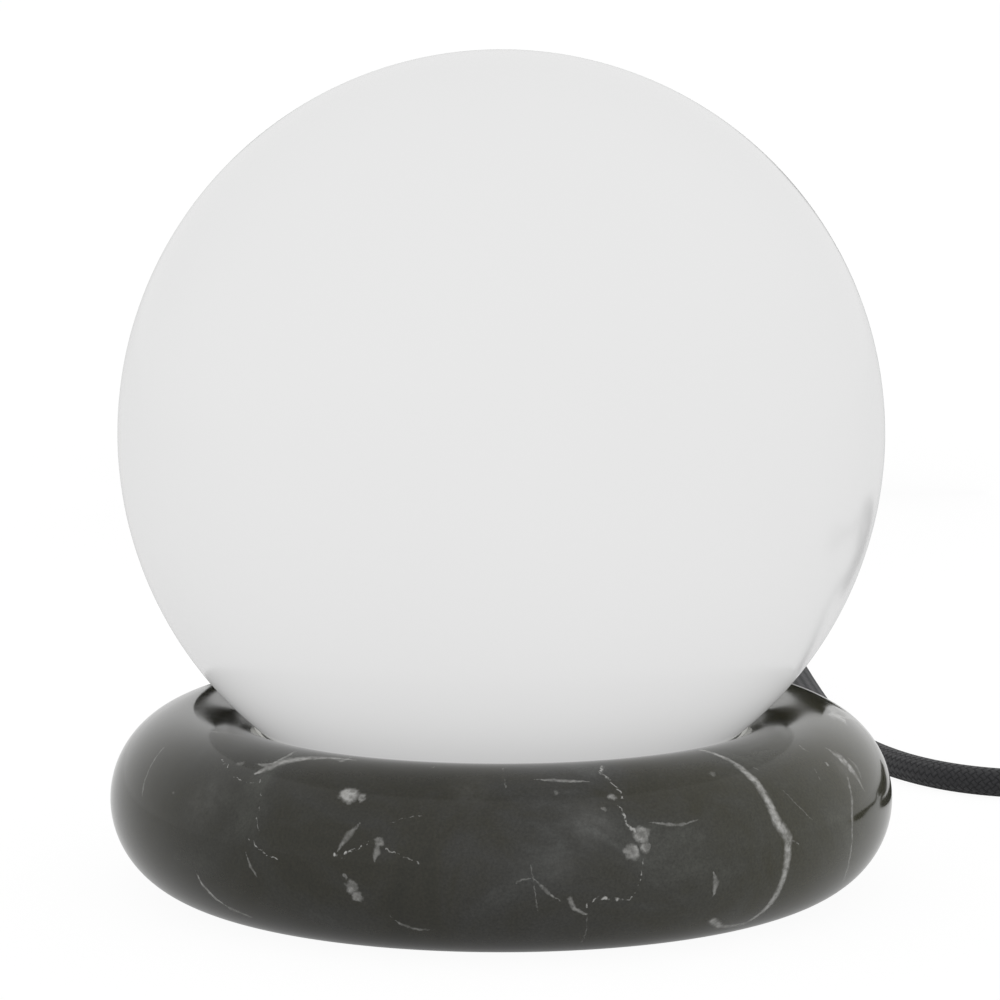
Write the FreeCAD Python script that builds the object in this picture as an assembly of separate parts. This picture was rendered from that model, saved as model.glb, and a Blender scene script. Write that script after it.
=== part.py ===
import FreeCAD, Part
import math
import os

# Globe table lamp: an opal glass globe nested in a polished marble ring, with a lampholder and
# bulb inside, and a braided cord with an in-line switch, a put-away coil and a two-pin plug.
# Millimetres. +Z is up and the origin is on the table, under the middle of the ring.
# -Y is the front of the lamp, and the cord leaves the back of the ring.

Vector = FreeCAD.Vector
X_AXIS = Vector(1, 0, 0)
Y_AXIS = Vector(0, 1, 0)
Z_AXIS = Vector(0, 0, 1)
FULL_TURN = 360.0
RIGHT_ANGLE = 90.0
HEXAGON_SIDES = 6
PARALLEL = 0.999                # least cosine between two directions that count as one
SAME_PLACE = 0.01               # greatest distance between two places that count as one
PAST_FACE = 1.0                 # every cutter starts and ends this far outside the solid

# ---- Glass globe ----
globe_diameter = 180.0
globe_wall = 3.0
globe_mouth_diameter = 90.0

# ---- Marble ring ----
ring_outer_diameter = 185.0
ring_section_diameter = 42.5
ring_flat_cut = 1.05            # taken off the bottom of the round section
ring_floor_gap = 0.8            # the pad holds the stone this far off the table

# ---- Soft ring that the globe rests on ----
seat_section_diameter = 3.0
seat_proud = 0.3                # stands this far out of the stone
seat_groove_gap = 0.05
globe_gap = 0.3                 # between the glass and the seat ring

# ---- Pad, steel plate and its fasteners ----
pad_thickness = 2.0
pad_inset = 0.5
pad_edge_chamfer = 0.5
plate_thickness = 2.5
plate_past_section = 3.75       # past the middle of the stone's section
plate_side_gap = 0.3
insert_inside_section = 2.25    # insert circle, inside the middle of the stone's section
insert_diameter = 6.0
insert_length = 9.0
insert_gap = 0.05
insert_count = 3
insert_first_angle = 30.0       # keeps the bushes off the bridge and the cord
fastener_gap = 0.05             # radial, round every screw shank
screw_diameter = 3.9
screw_head_diameter = 7.6
screw_head_sink = 2.0
screw_length = 10.0
socket_across = 2.5
socket_depth = 1.2
screw_tip_chamfer = 0.5

# ---- Bridge that carries the lampholder ----
bridge_height = 15.5
bridge_thickness = 1.5
bridge_width = 18.0
bridge_half_span = 17.0
bridge_foot = 15.0
bridge_bend = 0.9               # inside radius of each bend
bridge_screw_share = 0.55       # of each foot, from the bend to its screw
bridge_corner_radius = 4.5
pan_head_diameter = 7.6
pan_head_height = 2.4
pan_crown_share = 1 / 3         # of the head's height, bevelled off its rim
pan_socket_share = 1 / 3        # of the head's width, across the socket
nipple_diameter = 9.9
nipple_bore = 7.0
nipple_above = 4.0
nipple_below = 3.9
nipple_gap = 0.05
washer_diameter = 16.0
washer_thickness = 0.8
nut_across = 14.0
nut_height = 2.8

# ---- Cord, clamp and relief ----
cord_diameter = 7.2
cord_above_plate = 7.5
cord_floor_gap = 0.1
cord_bore_diameter = 11.4
relief_bore_gap = 0.1
relief_cord_gap = 0.1
relief_length = 44.0
relief_tail = 27.0
relief_tail_wall = 1.1
relief_groove_width = 1.6
relief_groove_depth = 0.8
relief_groove_count = 5
relief_first_groove = 1.2       # spaces from the tail's root to the first groove
relief_sink = 1.5               # the tail's root is this far inside the stone's outer face
clamp_distance = 34.0           # from the lamp's axis, along the cord
clamp_width = 26.0
clamp_depth = 9.0
clamp_slit = 0.6
clamp_bar_height = 5.2
clamp_edge = 1.0
clamp_screw_inset = 4.2         # from the clamp's ends
clamp_screw_diameter = 2.9
clamp_screw_head_diameter = 5.6
clamp_screw_head_height = 2.0
sheath_past_clamp = 5.0
core_diameter = 2.2
core_spacing = 3.8
core_bend = 5.0
core_spread_bend = 4.0
core_spread_start = 0.4         # above the nipple
core_spread_room = 1.6          # below the terminals
core_bore_gap = 0.1

# ---- Lampholder ----
holder_radius = 13.2
holder_wall = 1.8
holder_cap_height = 14.0
holder_floor_thickness = 2.8
holder_boss_radius = 8.0
holder_boss_height = 6.0
holder_chamfer = 2.2
sleeve_height = 36.0
sleeve_mouth_radius = 8.8
core_disc_gap = 0.2
core_disc_height = 10.0
core_disc_lift = 2.0            # above the cap's rim
core_disc_edge = 0.8
core_groove_lift = 4.0
core_groove_width = 2.0
core_groove_depth = 1.0
terminal_offset = 5.5
terminal_size = 5.4
terminal_height = 6.0
terminal_bore_depth = 4.5
terminal_screw_diameter = 2.4
terminal_screw_head_diameter = 3.8
terminal_screw_head_height = 1.2
terminal_screw_gap = 0.15       # between the screw's tip and the core
terminal_slot_width = 0.6
terminal_slot_depth = 0.5
contact_thickness = 0.5
contact_width = 4.0
contact_rise = 3.7
contact_web_slant = 1.4
contact_web_width = 1.0

# ---- Bulb and its screw thread ----
thread_pitch = 2.82
thread_crest_diameter = 13.89
thread_ridge = 0.4              # half the height from root to crest
thread_gap = 0.25
thread_steps = 12               # sections in one pitch
thread_run_out = 0.5            # goes on this far into the plain collar
thread_length = 13.0
thread_shell_wall = 0.9
thread_shell_flange = 1.5
thread_shell_height = 21.5
cap_collar_height = 3.0
cap_wall = 0.6
tip_gap = 0.3
tip_height = 1.4
tip_radius = 2.4
tip_flat_share = 0.6            # of the tip's radius
tip_shoulder_share = 0.9        # of the tip's radius
tip_shoulder_rise = 0.56
insulator_height = 3.6
insulator_past_tip = 0.5
insulator_inset = 0.4           # inside the cap's root
insulator_rim = 0.6
housing_height = 21.0
housing_wall = 1.5
housing_neck_radius = 9.0
housing_steps = 8
envelope_diameter = 45.0
envelope_wall = 1.2
envelope_above_rim = 9.0        # centre of the envelope above the housing's rim
led_board_thickness = 1.2
led_board_inset = 0.4
led_count = 8
led_width = 2.8
led_length = 3.5
led_height = 0.7
led_circle_share = 0.62
driver_width = 11.0
driver_height = 15.0
driver_thickness = 1.2
driver_floor_gap = 0.5
driver_parts_lift = 4.0
capacitor_diameter = 5.0
capacitor_length = 8.0
coil_part_size = 5.0

# ---- In-line switch ----
switch_middle = Vector(185.4, 195.0, 0)
switch_length = 62.0
switch_width = 28.0
switch_end_width = 13.0
switch_taper = 8.0
switch_floor_gap = 0.2
switch_split = 9.5
switch_height = 19.2
switch_wall = 1.8
switch_edge = 2.0
switch_base_edge = 1.5
switch_cord_height = 8.0
switch_cord_gap = 0.1
switch_bore_length = 10.0
switch_block_setback = 1.5      # of the cord's grip block, at both of its ends
switch_block_inset = 2.0        # on each side, inside the housing's narrow end
rocker_half_length = 9.6
rocker_width = 11.4
rocker_gap = 0.5
rocker_end_gap = 1.4
rocker_end_edge = 0.8
rocker_pivot_height = 14.2
rocker_tilt = 8.0               # degrees each side of level
rocker_side_height = 1.3
rocker_end_rise = 6.8
rocker_dip = 1.7
rocker_keel_half = 3.0
rocker_keel_drop = 2.7
pivot_diameter = 2.0
pivot_gap = 0.05
cheek_thickness = 1.6
cheek_gap = 0.5
cheek_radius = 2.8
blade_thickness = 0.5
blade_width = 4.0
blade_reach = 8.0
fixed_contact_height = 9.4
fixed_contact_thickness = 0.8
fixed_contact_past_blade = 1.0
fixed_contact_lap = 2.5
switch_terminal_place = 15.0
switch_terminal_size = 5.0
switch_terminal_width = 11.0
switch_core_offset = 3.0
switch_core_lift = 2.5          # above the housing's floor
switch_post_diameter = 5.2
switch_post_place = Vector(20.0, -9.0, 0)
switch_screw_head_diameter = 4.0
switch_screw_head_gap = 0.2
switch_screw_head_rise = 0.3    # above the housing's underside
switch_screw_head_top = 2.0     # above the table
switch_screw_room = 2.0         # between the screw's tip and the cover's ceiling
switch_socket_across = 1.6
switch_socket_depth = 0.5

# ---- Put-away coil and its tie ----
coil_centre = Vector(234.9, 268.0, 0)
coil_outer_radius = 49.5        # of the cord's centre line
coil_pitch = 7.8
coil_layer_step = 7.8
coil_layer_turns = 1.75
coil_first_angle = 180.0
coil_climb_turns = 0.5          # taken by the step up from the first layer
coil_sample_spacing = 2.0       # of the points that measure the coil's gap to itself
tie_thickness = 0.8
tie_gap = 0.5
tie_width = 7.0
tie_angle = 90.0

# ---- Two-pin plug ----
plug_width = 35.3
plug_thickness = 13.7
plug_length = 36.0
plug_nose_width = 26.0
plug_back_taper = 13.7
plug_nose_taper = 7.9
plug_floor_gap = 0.35
plug_edge = 2.0
plug_tail_length = 26.0
plug_tail_wall = 1.1
plug_tail_root_diameter = 12.0
pin_diameter = 4.0
pin_neck_diameter = 3.0
pin_length = 19.0
pin_neck_length = 10.0
pin_spacing = 18.6
pin_sleeve_diameter = 3.4
pin_root = 6.0
pin_tip_chamfer = 1.2

# ---- Places that follow from the sizes above ----
globe_radius = globe_diameter / 2
ring_section_radius = ring_section_diameter / 2
ring_radius = ring_outer_diameter / 2 - ring_section_radius
ring_middle = ring_floor_gap + ring_section_radius - ring_flat_cut
seat_radius = seat_section_diameter / 2
centre_distance = globe_radius + globe_gap + seat_proud + ring_section_radius
globe_height = ring_middle + math.sqrt(centre_distance ** 2 - ring_radius ** 2)
plate_radius = ring_radius + plate_past_section
plate_bottom = pad_thickness
plate_top = plate_bottom + plate_thickness
insert_circle = ring_radius - insert_inside_section
cord_radius = cord_diameter / 2
cord_height = plate_top + cord_above_plate
cord_floor = cord_radius + cord_floor_gap
relief_end = ring_radius + ring_section_radius - relief_sink + relief_tail
sheath_end = clamp_distance - clamp_depth / 2 - sheath_past_clamp
bridge_top = plate_top + bridge_height
holder_rim = bridge_top + holder_cap_height
core_disc_bottom = holder_rim + core_disc_lift
core_disc_top = core_disc_bottom + core_disc_height
tip_bottom = core_disc_top + contact_rise + tip_gap
insulator_bottom = tip_bottom + tip_height
cap_bottom = insulator_bottom + insulator_height
collar_bottom = cap_bottom + thread_length
housing_bottom = collar_bottom + cap_collar_height
housing_top = housing_bottom + housing_height
envelope_middle = housing_top + envelope_above_rim
envelope_radius = envelope_diameter / 2
thread_radius = thread_crest_diameter / 2 - thread_ridge
sleeve_top = holder_rim + sleeve_height
thread_shell_top = core_disc_top + thread_shell_height
coil_low = cord_radius + tie_gap + tie_thickness + cord_floor_gap
coil_high = coil_low + coil_layer_step
coil_turns = 2 * coil_layer_turns
coil_inner_radius = coil_outer_radius - coil_pitch * coil_layer_turns
plug_height = plug_floor_gap + plug_thickness / 2
switch_entry = switch_middle + Vector(0, -switch_length / 2, switch_cord_height)
switch_exit = switch_middle + Vector(0, switch_length / 2, switch_cord_height)
coil_entry = coil_centre + Vector(-coil_outer_radius, -cord_diameter, coil_low)
coil_exit = coil_centre + Vector(coil_outer_radius, -cord_diameter, coil_high)
plug_entry = Vector(270.4, 150.0, plug_height)
plug_nose = plug_tail_length + plug_length

# ---- The cord's route, from the ring's relief to the switch, and on to the coil and the plug ----
run_share = 0.45                # of the shorter run, taken by each arc
lead_points = [
    Vector(0, relief_end, cord_height),
    Vector(0, relief_end + 19, cord_height),
    Vector(1, relief_end + 51, cord_floor),
    Vector(-4, 228, cord_floor),
    Vector(-2, 279, cord_floor),
    Vector(40, 301, cord_floor),
    Vector(80.5, 278, cord_floor),
    Vector(84.6, 210, cord_floor),
    Vector(90.2, 144, cord_floor),
    Vector(111.3, 101.5, cord_floor),
    Vector(143.8, 91.3, cord_floor),
    Vector(169.5, 99.6, cord_floor),
    Vector(185.4, 121.4, cord_floor),
    switch_entry + Vector(0, -16, 0),
    switch_entry,
]
link_points = [
    switch_exit,
    switch_exit + Vector(0, 11, 0),
    coil_entry + Vector(0, -12, 0),
    coil_entry,
]
tail_points = [
    coil_exit,
    coil_exit + Vector(0, -16.8, 0),
    Vector(282.4, 218, cord_floor),
    Vector(276.9, 192, cord_floor),
    plug_entry + Vector(0, 16, 0),
    plug_entry,
]


# ---- Shared shapes ----
def turned(outline):
    """Solid of revolution round Z from corners given as (radius, height)."""
    corners = [Vector(radius, 0, height) for radius, height in outline]
    face = Part.Face(Part.makePolygon(corners + corners[:1]))
    return face.revolve(Vector(), Z_AXIS, FULL_TURN)


def plate_shape(corners, thickness, base):
    """Flat piece with the given corners in plan, from the height base upwards."""
    outline = [Vector(x, y, base) for x, y in corners]
    face = Part.Face(Part.makePolygon(outline + outline[:1]))
    return face.extrude(Vector(0, 0, thickness))


def centred_box(middle, size):
    """Box with its middle and its size along X, Y and Z."""
    corner = middle - size / 2
    return Part.makeBox(size.x, size.y, size.z, corner)


def hexagon(across, height, base):
    """Upright hexagonal bar, measured across its flats."""
    corner_radius = across / math.sqrt(3)
    corners = []
    for side in range(HEXAGON_SIDES):
        angle = math.radians(FULL_TURN * side / HEXAGON_SIDES)
        corners.append((corner_radius * math.cos(angle), corner_radius * math.sin(angle)))
    return plate_shape(corners, height, base)


def along_y(shape):
    """Turn a shape made along +Z to lie along +Y."""
    shape.rotate(Vector(), X_AXIS, -RIGHT_ANGLE)
    return shape


def moved(shape, offset):
    """The same shape, shifted."""
    shape.translate(offset)
    return shape


def on_circle(shape, count, first_angle=0.0):
    """Copies of a shape, spaced evenly round the Z axis."""
    copies = []
    for number in range(count):
        copy = shape.copy()
        copy.rotate(Vector(), Z_AXIS, first_angle + FULL_TURN * number / count)
        copies.append(copy)
    return copies


def edges_along(shape, direction):
    """Straight edges that run along a direction."""
    found = []
    for edge in shape.Edges:
        if edge.Curve.TypeId != "Part::GeomLine":
            continue
        tangent = edge.tangentAt(edge.FirstParameter)
        if abs(tangent.dot(direction)) > PARALLEL:
            found.append(edge)
    return found


def edges_at(shape, height):
    """Edges that lie in one level."""
    found = []
    for edge in shape.Edges:
        box = edge.BoundBox
        if abs(box.ZMin - height) < SAME_PLACE and abs(box.ZMax - height) < SAME_PLACE:
            found.append(edge)
    return found


def save(name, solids):
    """Write one piece, or one group of alike pieces, to its own file."""
    if not isinstance(solids, list):
        solids = [solids]
    shape = solids[0] if len(solids) == 1 else Part.makeCompound(solids)
    if not shape.isValid():
        raise ValueError(name + " isn't a valid shape")
    shape.exportStep(os.path.join("parts", name + ".step"))
    print(f"{name:24s} {len(shape.Solids):3d} solids {shape.Volume / 1000:9.2f} cm3")


# ---- Bent tubes ----
def rounded_path(points, bend=None):
    """Straight runs joined by tangent arcs. Returns the wire and the arcs' radii."""
    edges = []
    radii = []
    start = points[0]
    for before, corner, after in zip(points, points[1:], points[2:]):
        incoming = corner - before
        outgoing = after - corner
        half_turn = incoming.getAngle(outgoing) / 2
        reach = run_share * min(incoming.Length, outgoing.Length)
        if bend is not None:
            reach = bend * math.tan(half_turn)
        radius = reach / math.tan(half_turn)
        incoming.normalize()
        outgoing.normalize()
        inward = (outgoing - incoming).normalize()
        arc_start = corner - incoming * reach
        arc_end = corner + outgoing * reach
        arc_middle = corner + inward * (radius / math.cos(half_turn) - radius)
        edges.append(Part.LineSegment(start, arc_start).toShape())
        edges.append(Part.Arc(arc_start, arc_middle, arc_end).toShape())
        start = arc_end
        radii.append(radius)
    edges.append(Part.LineSegment(start, points[-1]).toShape())
    return Part.Wire(edges), radii


def tube_along(wire, start, direction, diameter):
    """Round rod swept along a wire that starts in the given direction."""
    section = Part.Wire([Part.Circle(start, direction, diameter / 2).toShape()])
    return wire.makePipeShell([section], True, False)


def cord_stretch(name, points):
    """A free stretch of the cord, with its radii and its volume printed."""
    wire, radii = rounded_path(points)
    tube = tube_along(wire, points[0], points[1] - points[0], cord_diameter)
    expected = math.pi * cord_radius ** 2 * wire.Length
    print(f"{name}: length {wire.Length:.1f}, volume to section x length {tube.Volume / expected:.5f}")
    print("  arc radii in diameters:", [round(radius / cord_diameter, 1) for radius in radii])
    return tube


def arc_from(start, direction, end):
    """The arc that leaves start in a direction and ends at end."""
    chord = end - start
    sideways = chord - direction * chord.dot(direction)
    if sideways.Length < 1e-7:
        return Part.LineSegment(start, end).toShape()
    sideways.normalize()
    radius = chord.dot(chord) / (2 * chord.dot(sideways))
    centre = start + sideways * radius
    to_middle = (start + end) / 2 - centre
    middle = centre + to_middle.normalize() * radius
    return Part.Arc(start, middle, end).toShape()


def biarc(start, start_direction, end, end_direction):
    """Two tangent arcs that join two points and their directions."""
    chord = end - start
    both = start_direction + end_direction
    spread = 2 * (1 - start_direction.dot(end_direction))
    across = chord.dot(both)
    reach = (math.sqrt(across ** 2 + spread * chord.dot(chord)) - across) / spread
    joint = (start + start_direction * reach + end - end_direction * reach) / 2
    first = arc_from(start, start_direction, joint)
    second = arc_from(end, end_direction * -1, joint)
    return [first, second]


def coil_point(turns):
    """Centre of the cord after a number of turns: in along the table, up, and out again on top."""
    if turns <= coil_layer_turns:
        radius = coil_outer_radius - coil_pitch * turns
    else:
        radius = coil_inner_radius + coil_pitch * (turns - coil_layer_turns)
    climb = (turns - coil_layer_turns) / coil_climb_turns + 0.5
    climbed = min(max(climb, 0.0), 1.0)
    height = coil_low + coil_layer_step * climbed
    angle = math.radians(coil_first_angle - FULL_TURN * turns)
    return coil_centre + Vector(radius * math.cos(angle), radius * math.sin(angle), height)


def coil_direction(turns):
    """Direction of the cord there. It is square to the radius at both ends of the coil."""
    if turns <= 0 or turns >= coil_turns:
        angle = math.radians(coil_first_angle - FULL_TURN * turns)
        return Vector(math.sin(angle), -math.cos(angle), 0)
    step = 0.002
    return (coil_point(turns + step) - coil_point(turns - step)).normalize()


def make_coil():
    """The put-away coil as one unbroken tube of quarter turns."""
    quarters = int(round(coil_turns * 4))
    edges = [Part.LineSegment(coil_entry, coil_point(0)).toShape()]
    for number in range(quarters):
        start = number / 4
        end = start + 0.25
        here = coil_point(start)
        there = coil_point(end)
        edges += biarc(here, coil_direction(start), there, coil_direction(end))
    edges.append(Part.LineSegment(coil_point(coil_turns), coil_exit).toShape())
    wire = Part.Wire(Part.__sortEdges__(edges))
    coil = tube_along(wire, coil_entry, coil_direction(0), cord_diameter)
    samples = wire.discretize(Distance=coil_sample_spacing)
    near = int(3 * cord_diameter / coil_sample_spacing)
    least = min(
        samples[first].distanceToPoint(samples[second])
        for first in range(len(samples))
        for second in range(first + near, len(samples))
    )
    expected = math.pi * cord_radius ** 2 * wire.Length
    print(f"cord_coil: length {wire.Length:.1f}, volume to section x length {coil.Volume / expected:.5f}")
    print(f"  least gap of the coil to itself {least - cord_diameter:.2f} mm")
    return coil


# ---- Globe, stone and seat ----
def make_globe():
    """Opal shell with a round-edged mouth at the bottom."""
    centre = Vector(0, 0, globe_height)
    inner_radius = globe_radius - globe_wall
    mouth = math.asin(globe_mouth_diameter / globe_diameter)

    def on_sphere(radius, angle):
        return centre + Vector(radius * math.sin(angle), 0, -radius * math.cos(angle))

    rim_radius = globe_radius - globe_wall / 2
    rim_angle = mouth - globe_wall / 2 / rim_radius
    half_way = (mouth + math.pi) / 2
    outer_top = on_sphere(globe_radius, math.pi)
    inner_top = on_sphere(inner_radius, math.pi)
    outer_rim = on_sphere(globe_radius, mouth)
    inner_rim = on_sphere(inner_radius, mouth)
    edges = [
        Part.Arc(outer_top, on_sphere(globe_radius, half_way), outer_rim).toShape(),
        Part.Arc(outer_rim, on_sphere(rim_radius, rim_angle), inner_rim).toShape(),
        Part.Arc(inner_rim, on_sphere(inner_radius, half_way), inner_top).toShape(),
        Part.LineSegment(inner_top, outer_top).toShape(),
    ]
    return Part.Face(Part.Wire(edges)).revolve(centre, Z_AXIS, FULL_TURN)


def seat_torus(grow):
    """Ring along the line where the globe touches the stone, grown by a gap."""
    reach = ring_section_radius + seat_proud - seat_radius
    across = ring_radius / centre_distance
    rise = (globe_height - ring_middle) / centre_distance
    middle = Vector(0, 0, ring_middle + reach * rise)
    return Part.makeTorus(ring_radius - reach * across, seat_radius + grow, middle, Z_AXIS)


def make_ring():
    """Marble ring with a flat foot, a rebate for the plate, a seat groove and a cord bore."""
    ring = Part.makeTorus(ring_radius, ring_section_radius, Vector(0, 0, ring_middle), Z_AXIS)
    below = Part.makeCylinder(ring_outer_diameter, ring_section_diameter)
    below.translate(Vector(0, 0, ring_floor_gap - ring_section_diameter))
    rebate = Part.makeCylinder(plate_radius + plate_side_gap, plate_top)
    bore = along_y(Part.makeCylinder(cord_bore_diameter / 2, ring_outer_diameter))
    bore.translate(Vector(0, 0, cord_height))
    hole = Part.makeCylinder(insert_diameter / 2 + insert_gap, insert_length + PAST_FACE)
    hole.translate(Vector(insert_circle, 0, plate_top))
    holes = on_circle(hole, insert_count, insert_first_angle)
    for cutter in [below, rebate, bore, seat_torus(seat_groove_gap)] + holes:
        ring = ring.cut(cutter)
    return ring


# ---- Pad, plate and fasteners under the stone ----
def make_pad():
    """Soft pad that the whole lamp stands on."""
    radius = plate_radius - pad_inset
    return turned([
        (0, 0),
        (radius - pad_edge_chamfer, 0),
        (radius, pad_edge_chamfer),
        (radius, pad_thickness),
        (0, pad_thickness),
    ])


def make_plate():
    """Steel plate that closes the ring from below and carries the fittings."""
    plate = Part.makeCylinder(plate_radius, plate_thickness, Vector(0, 0, plate_bottom))
    shank = screw_diameter / 2 + fastener_gap
    head = screw_head_diameter / 2 + fastener_gap
    sink = turned([
        (0, plate_bottom - PAST_FACE),
        (head, plate_bottom - PAST_FACE),
        (head, plate_bottom),
        (shank, plate_bottom + screw_head_sink),
        (shank, plate_top + PAST_FACE),
        (0, plate_top + PAST_FACE),
    ])
    sink.translate(Vector(insert_circle, 0, 0))
    holes = on_circle(sink, insert_count, insert_first_angle)
    base = Vector(0, 0, plate_bottom - PAST_FACE)
    depth = plate_thickness + 2 * PAST_FACE
    for place in bridge_screw_places():
        holes.append(Part.makeCylinder(shank, depth, place + base))
    for place in clamp_screw_places():
        radius = clamp_screw_diameter / 2 + fastener_gap
        holes.append(Part.makeCylinder(radius, depth, place + base))
    for hole in holes:
        plate = plate.cut(hole)
    return plate


def make_inserts():
    """Threaded brass bushes set in the stone."""
    bore = screw_diameter / 2 + fastener_gap
    bush = turned([
        (bore, plate_top),
        (insert_diameter / 2, plate_top),
        (insert_diameter / 2, plate_top + insert_length),
        (bore, plate_top + insert_length),
    ])
    bush.translate(Vector(insert_circle, 0, 0))
    return on_circle(bush, insert_count, insert_first_angle)


def make_plate_screws():
    """Countersunk screws up through the plate into the bushes."""
    top = plate_bottom + screw_length
    shank = screw_diameter / 2
    screw = turned([
        (0, plate_bottom),
        (screw_head_diameter / 2, plate_bottom),
        (shank, plate_bottom + screw_head_sink),
        (shank, top - screw_tip_chamfer),
        (shank - screw_tip_chamfer, top),
        (0, top),
    ])
    socket = hexagon(socket_across, socket_depth + PAST_FACE, plate_bottom - PAST_FACE)
    screw = screw.cut(socket)
    screw.translate(Vector(insert_circle, 0, 0))
    return on_circle(screw, insert_count, insert_first_angle)


def pan_screw(shank_diameter, head_diameter, head_height, top_of_work, bottom):
    """Upright pan-head screw with a hexagon socket, its head on top_of_work."""
    shank = shank_diameter / 2
    head = head_diameter / 2
    top = top_of_work + head_height
    crown = head_height * pan_crown_share
    screw = turned([
        (0, bottom),
        (shank, bottom),
        (shank, top_of_work),
        (head, top_of_work),
        (head, top - crown),
        (head - crown, top),
        (0, top),
    ])
    return screw.cut(hexagon(head_diameter * pan_socket_share, head_height, top - head_height / 2))


# ---- Bridge, nipple and nut ----
def bridge_screw_places():
    """Middles of the two bridge feet."""
    reach = bridge_half_span + bridge_foot * bridge_screw_share
    return [Vector(-reach, 0, 0), Vector(reach, 0, 0)]


def make_bridge():
    """Steel strip bent to a bridge over the cord, with the lampholder on top."""
    outer = bridge_half_span
    inner = bridge_half_span - bridge_thickness
    foot = bridge_half_span + bridge_foot
    foot_top = plate_top + bridge_thickness
    under = bridge_top - bridge_thickness
    right = [
        (inner, under),
        (inner, plate_top),
        (foot, plate_top),
        (foot, foot_top),
        (outer, foot_top),
        (outer, bridge_top),
    ]
    left = [(-x, z) for x, z in reversed(right)]
    corners = [Vector(x, -bridge_width / 2, z) for x, z in right + left]
    face = Part.Face(Part.makePolygon(corners + corners[:1]))
    bridge = face.extrude(Vector(0, bridge_width, 0))
    bends = [(inner, under), (outer, foot_top), (outer, bridge_top), (inner, plate_top)]
    bent = []
    for edge in edges_along(bridge, Y_AXIS):
        place = edge.CenterOfMass
        for x, z in bends:
            if abs(abs(place.x) - x) < SAME_PLACE and abs(place.z - z) < SAME_PLACE:
                bent.append(edge)
    bridge = bridge.makeFillet(bridge_bend, bent)
    upright = edges_along(bridge, Z_AXIS)
    ends = [edge for edge in upright if abs(abs(edge.CenterOfMass.x) - foot) < SAME_PLACE]
    bridge = bridge.makeFillet(bridge_corner_radius, ends)
    hole_base = Vector(0, 0, plate_top + PAST_FACE)
    bridge = bridge.cut(Part.makeCylinder(nipple_diameter / 2 + nipple_gap, bridge_height, hole_base))
    for place in bridge_screw_places():
        base = place + Vector(0, 0, plate_bottom)
        bridge = bridge.cut(Part.makeCylinder(screw_diameter / 2 + fastener_gap, bridge_height, base))
    return bridge


def make_bridge_screws():
    """Pan-head screws that hold the bridge to the plate."""
    work = plate_top + bridge_thickness
    screw = pan_screw(screw_diameter, pan_head_diameter, pan_head_height, work, plate_bottom)
    return [moved(screw.copy(), place) for place in bridge_screw_places()]


def ring_of(inner_radius, outer_radius, bottom, top):
    """Plain upright tube."""
    corners = [
        (inner_radius, bottom),
        (outer_radius, bottom),
        (outer_radius, top),
        (inner_radius, top),
    ]
    return turned(corners)


def make_nipple():
    """Threaded tube that joins the lampholder to the bridge and lets the cores through."""
    under = bridge_top - bridge_thickness - nipple_below
    return ring_of(nipple_bore / 2, nipple_diameter / 2, under, bridge_top + nipple_above)


def make_washer():
    """Washer under the bridge."""
    top = bridge_top - bridge_thickness
    return ring_of(nipple_diameter / 2 + nipple_gap, washer_diameter / 2, top - washer_thickness, top)


def make_nut():
    """Hexagon nut under the washer."""
    top = bridge_top - bridge_thickness - washer_thickness
    nut = hexagon(nut_across, nut_height, top - nut_height)
    bore_base = Vector(0, 0, top - nut_height - PAST_FACE)
    bore = Part.makeCylinder(nipple_diameter / 2 + nipple_gap, nut_height + 2 * PAST_FACE, bore_base)
    return nut.cut(bore)


# ---- Cord inside the lamp ----
def clamp_screw_places():
    """Two screws, one each side of the clamped cord."""
    reach = clamp_width / 2 - clamp_screw_inset
    return [Vector(-reach, clamp_distance, 0), Vector(reach, clamp_distance, 0)]


def clamp_piece(bottom, top):
    """One half of the clamp, with its share of the cord's groove and the screw holes."""
    middle = Vector(0, clamp_distance, (bottom + top) / 2)
    piece = centred_box(middle, Vector(clamp_width, clamp_depth, top - bottom))
    piece = piece.makeFillet(clamp_edge, edges_along(piece, Z_AXIS))
    groove = along_y(Part.makeCylinder(cord_radius, clamp_distance * 2))
    groove.translate(Vector(0, 0, cord_height))
    piece = piece.cut(groove)
    radius = clamp_screw_diameter / 2 + fastener_gap
    base = Vector(0, 0, bottom - PAST_FACE)
    for place in clamp_screw_places():
        piece = piece.cut(Part.makeCylinder(radius, top - bottom + 2 * PAST_FACE, place + base))
    return piece


def clamp_top():
    """Upper face of the clamp's bar."""
    return cord_height + clamp_slit / 2 + clamp_bar_height


def make_clamp_screws():
    """Screws through the bar and the block into the plate."""
    screw = pan_screw(
        clamp_screw_diameter, clamp_screw_head_diameter, clamp_screw_head_height, clamp_top(), plate_bottom
    )
    return [moved(screw.copy(), place) for place in clamp_screw_places()]


def make_relief():
    """Rubber sleeve in the stone's bore with a tapered, grooved tail."""
    bore = cord_radius + relief_cord_gap
    body = cord_bore_diameter / 2 - relief_bore_gap
    tip = cord_radius + relief_tail_wall
    start = relief_end - relief_length
    tail = relief_end - relief_tail
    relief = turned([(bore, start), (body, start), (body, tail), (tip, relief_end), (bore, relief_end)])
    spacing = relief_tail / (relief_groove_count + 1)
    for number in range(relief_groove_count):
        middle = tail + spacing * (number + relief_first_groove)
        outside = body + (tip - body) * (middle - tail) / relief_tail
        half = relief_groove_width / 2
        relief = relief.cut(ring_of(outside - relief_groove_depth, body * 2, middle - half, middle + half))
    return moved(along_y(relief), Vector(0, 0, cord_height))


def make_inner_cord():
    """The cord from the end of its sheath, through the clamp and the relief."""
    cord = along_y(Part.makeCylinder(cord_radius, relief_end - sheath_end))
    return moved(cord, Vector(0, sheath_end, cord_height))


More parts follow.
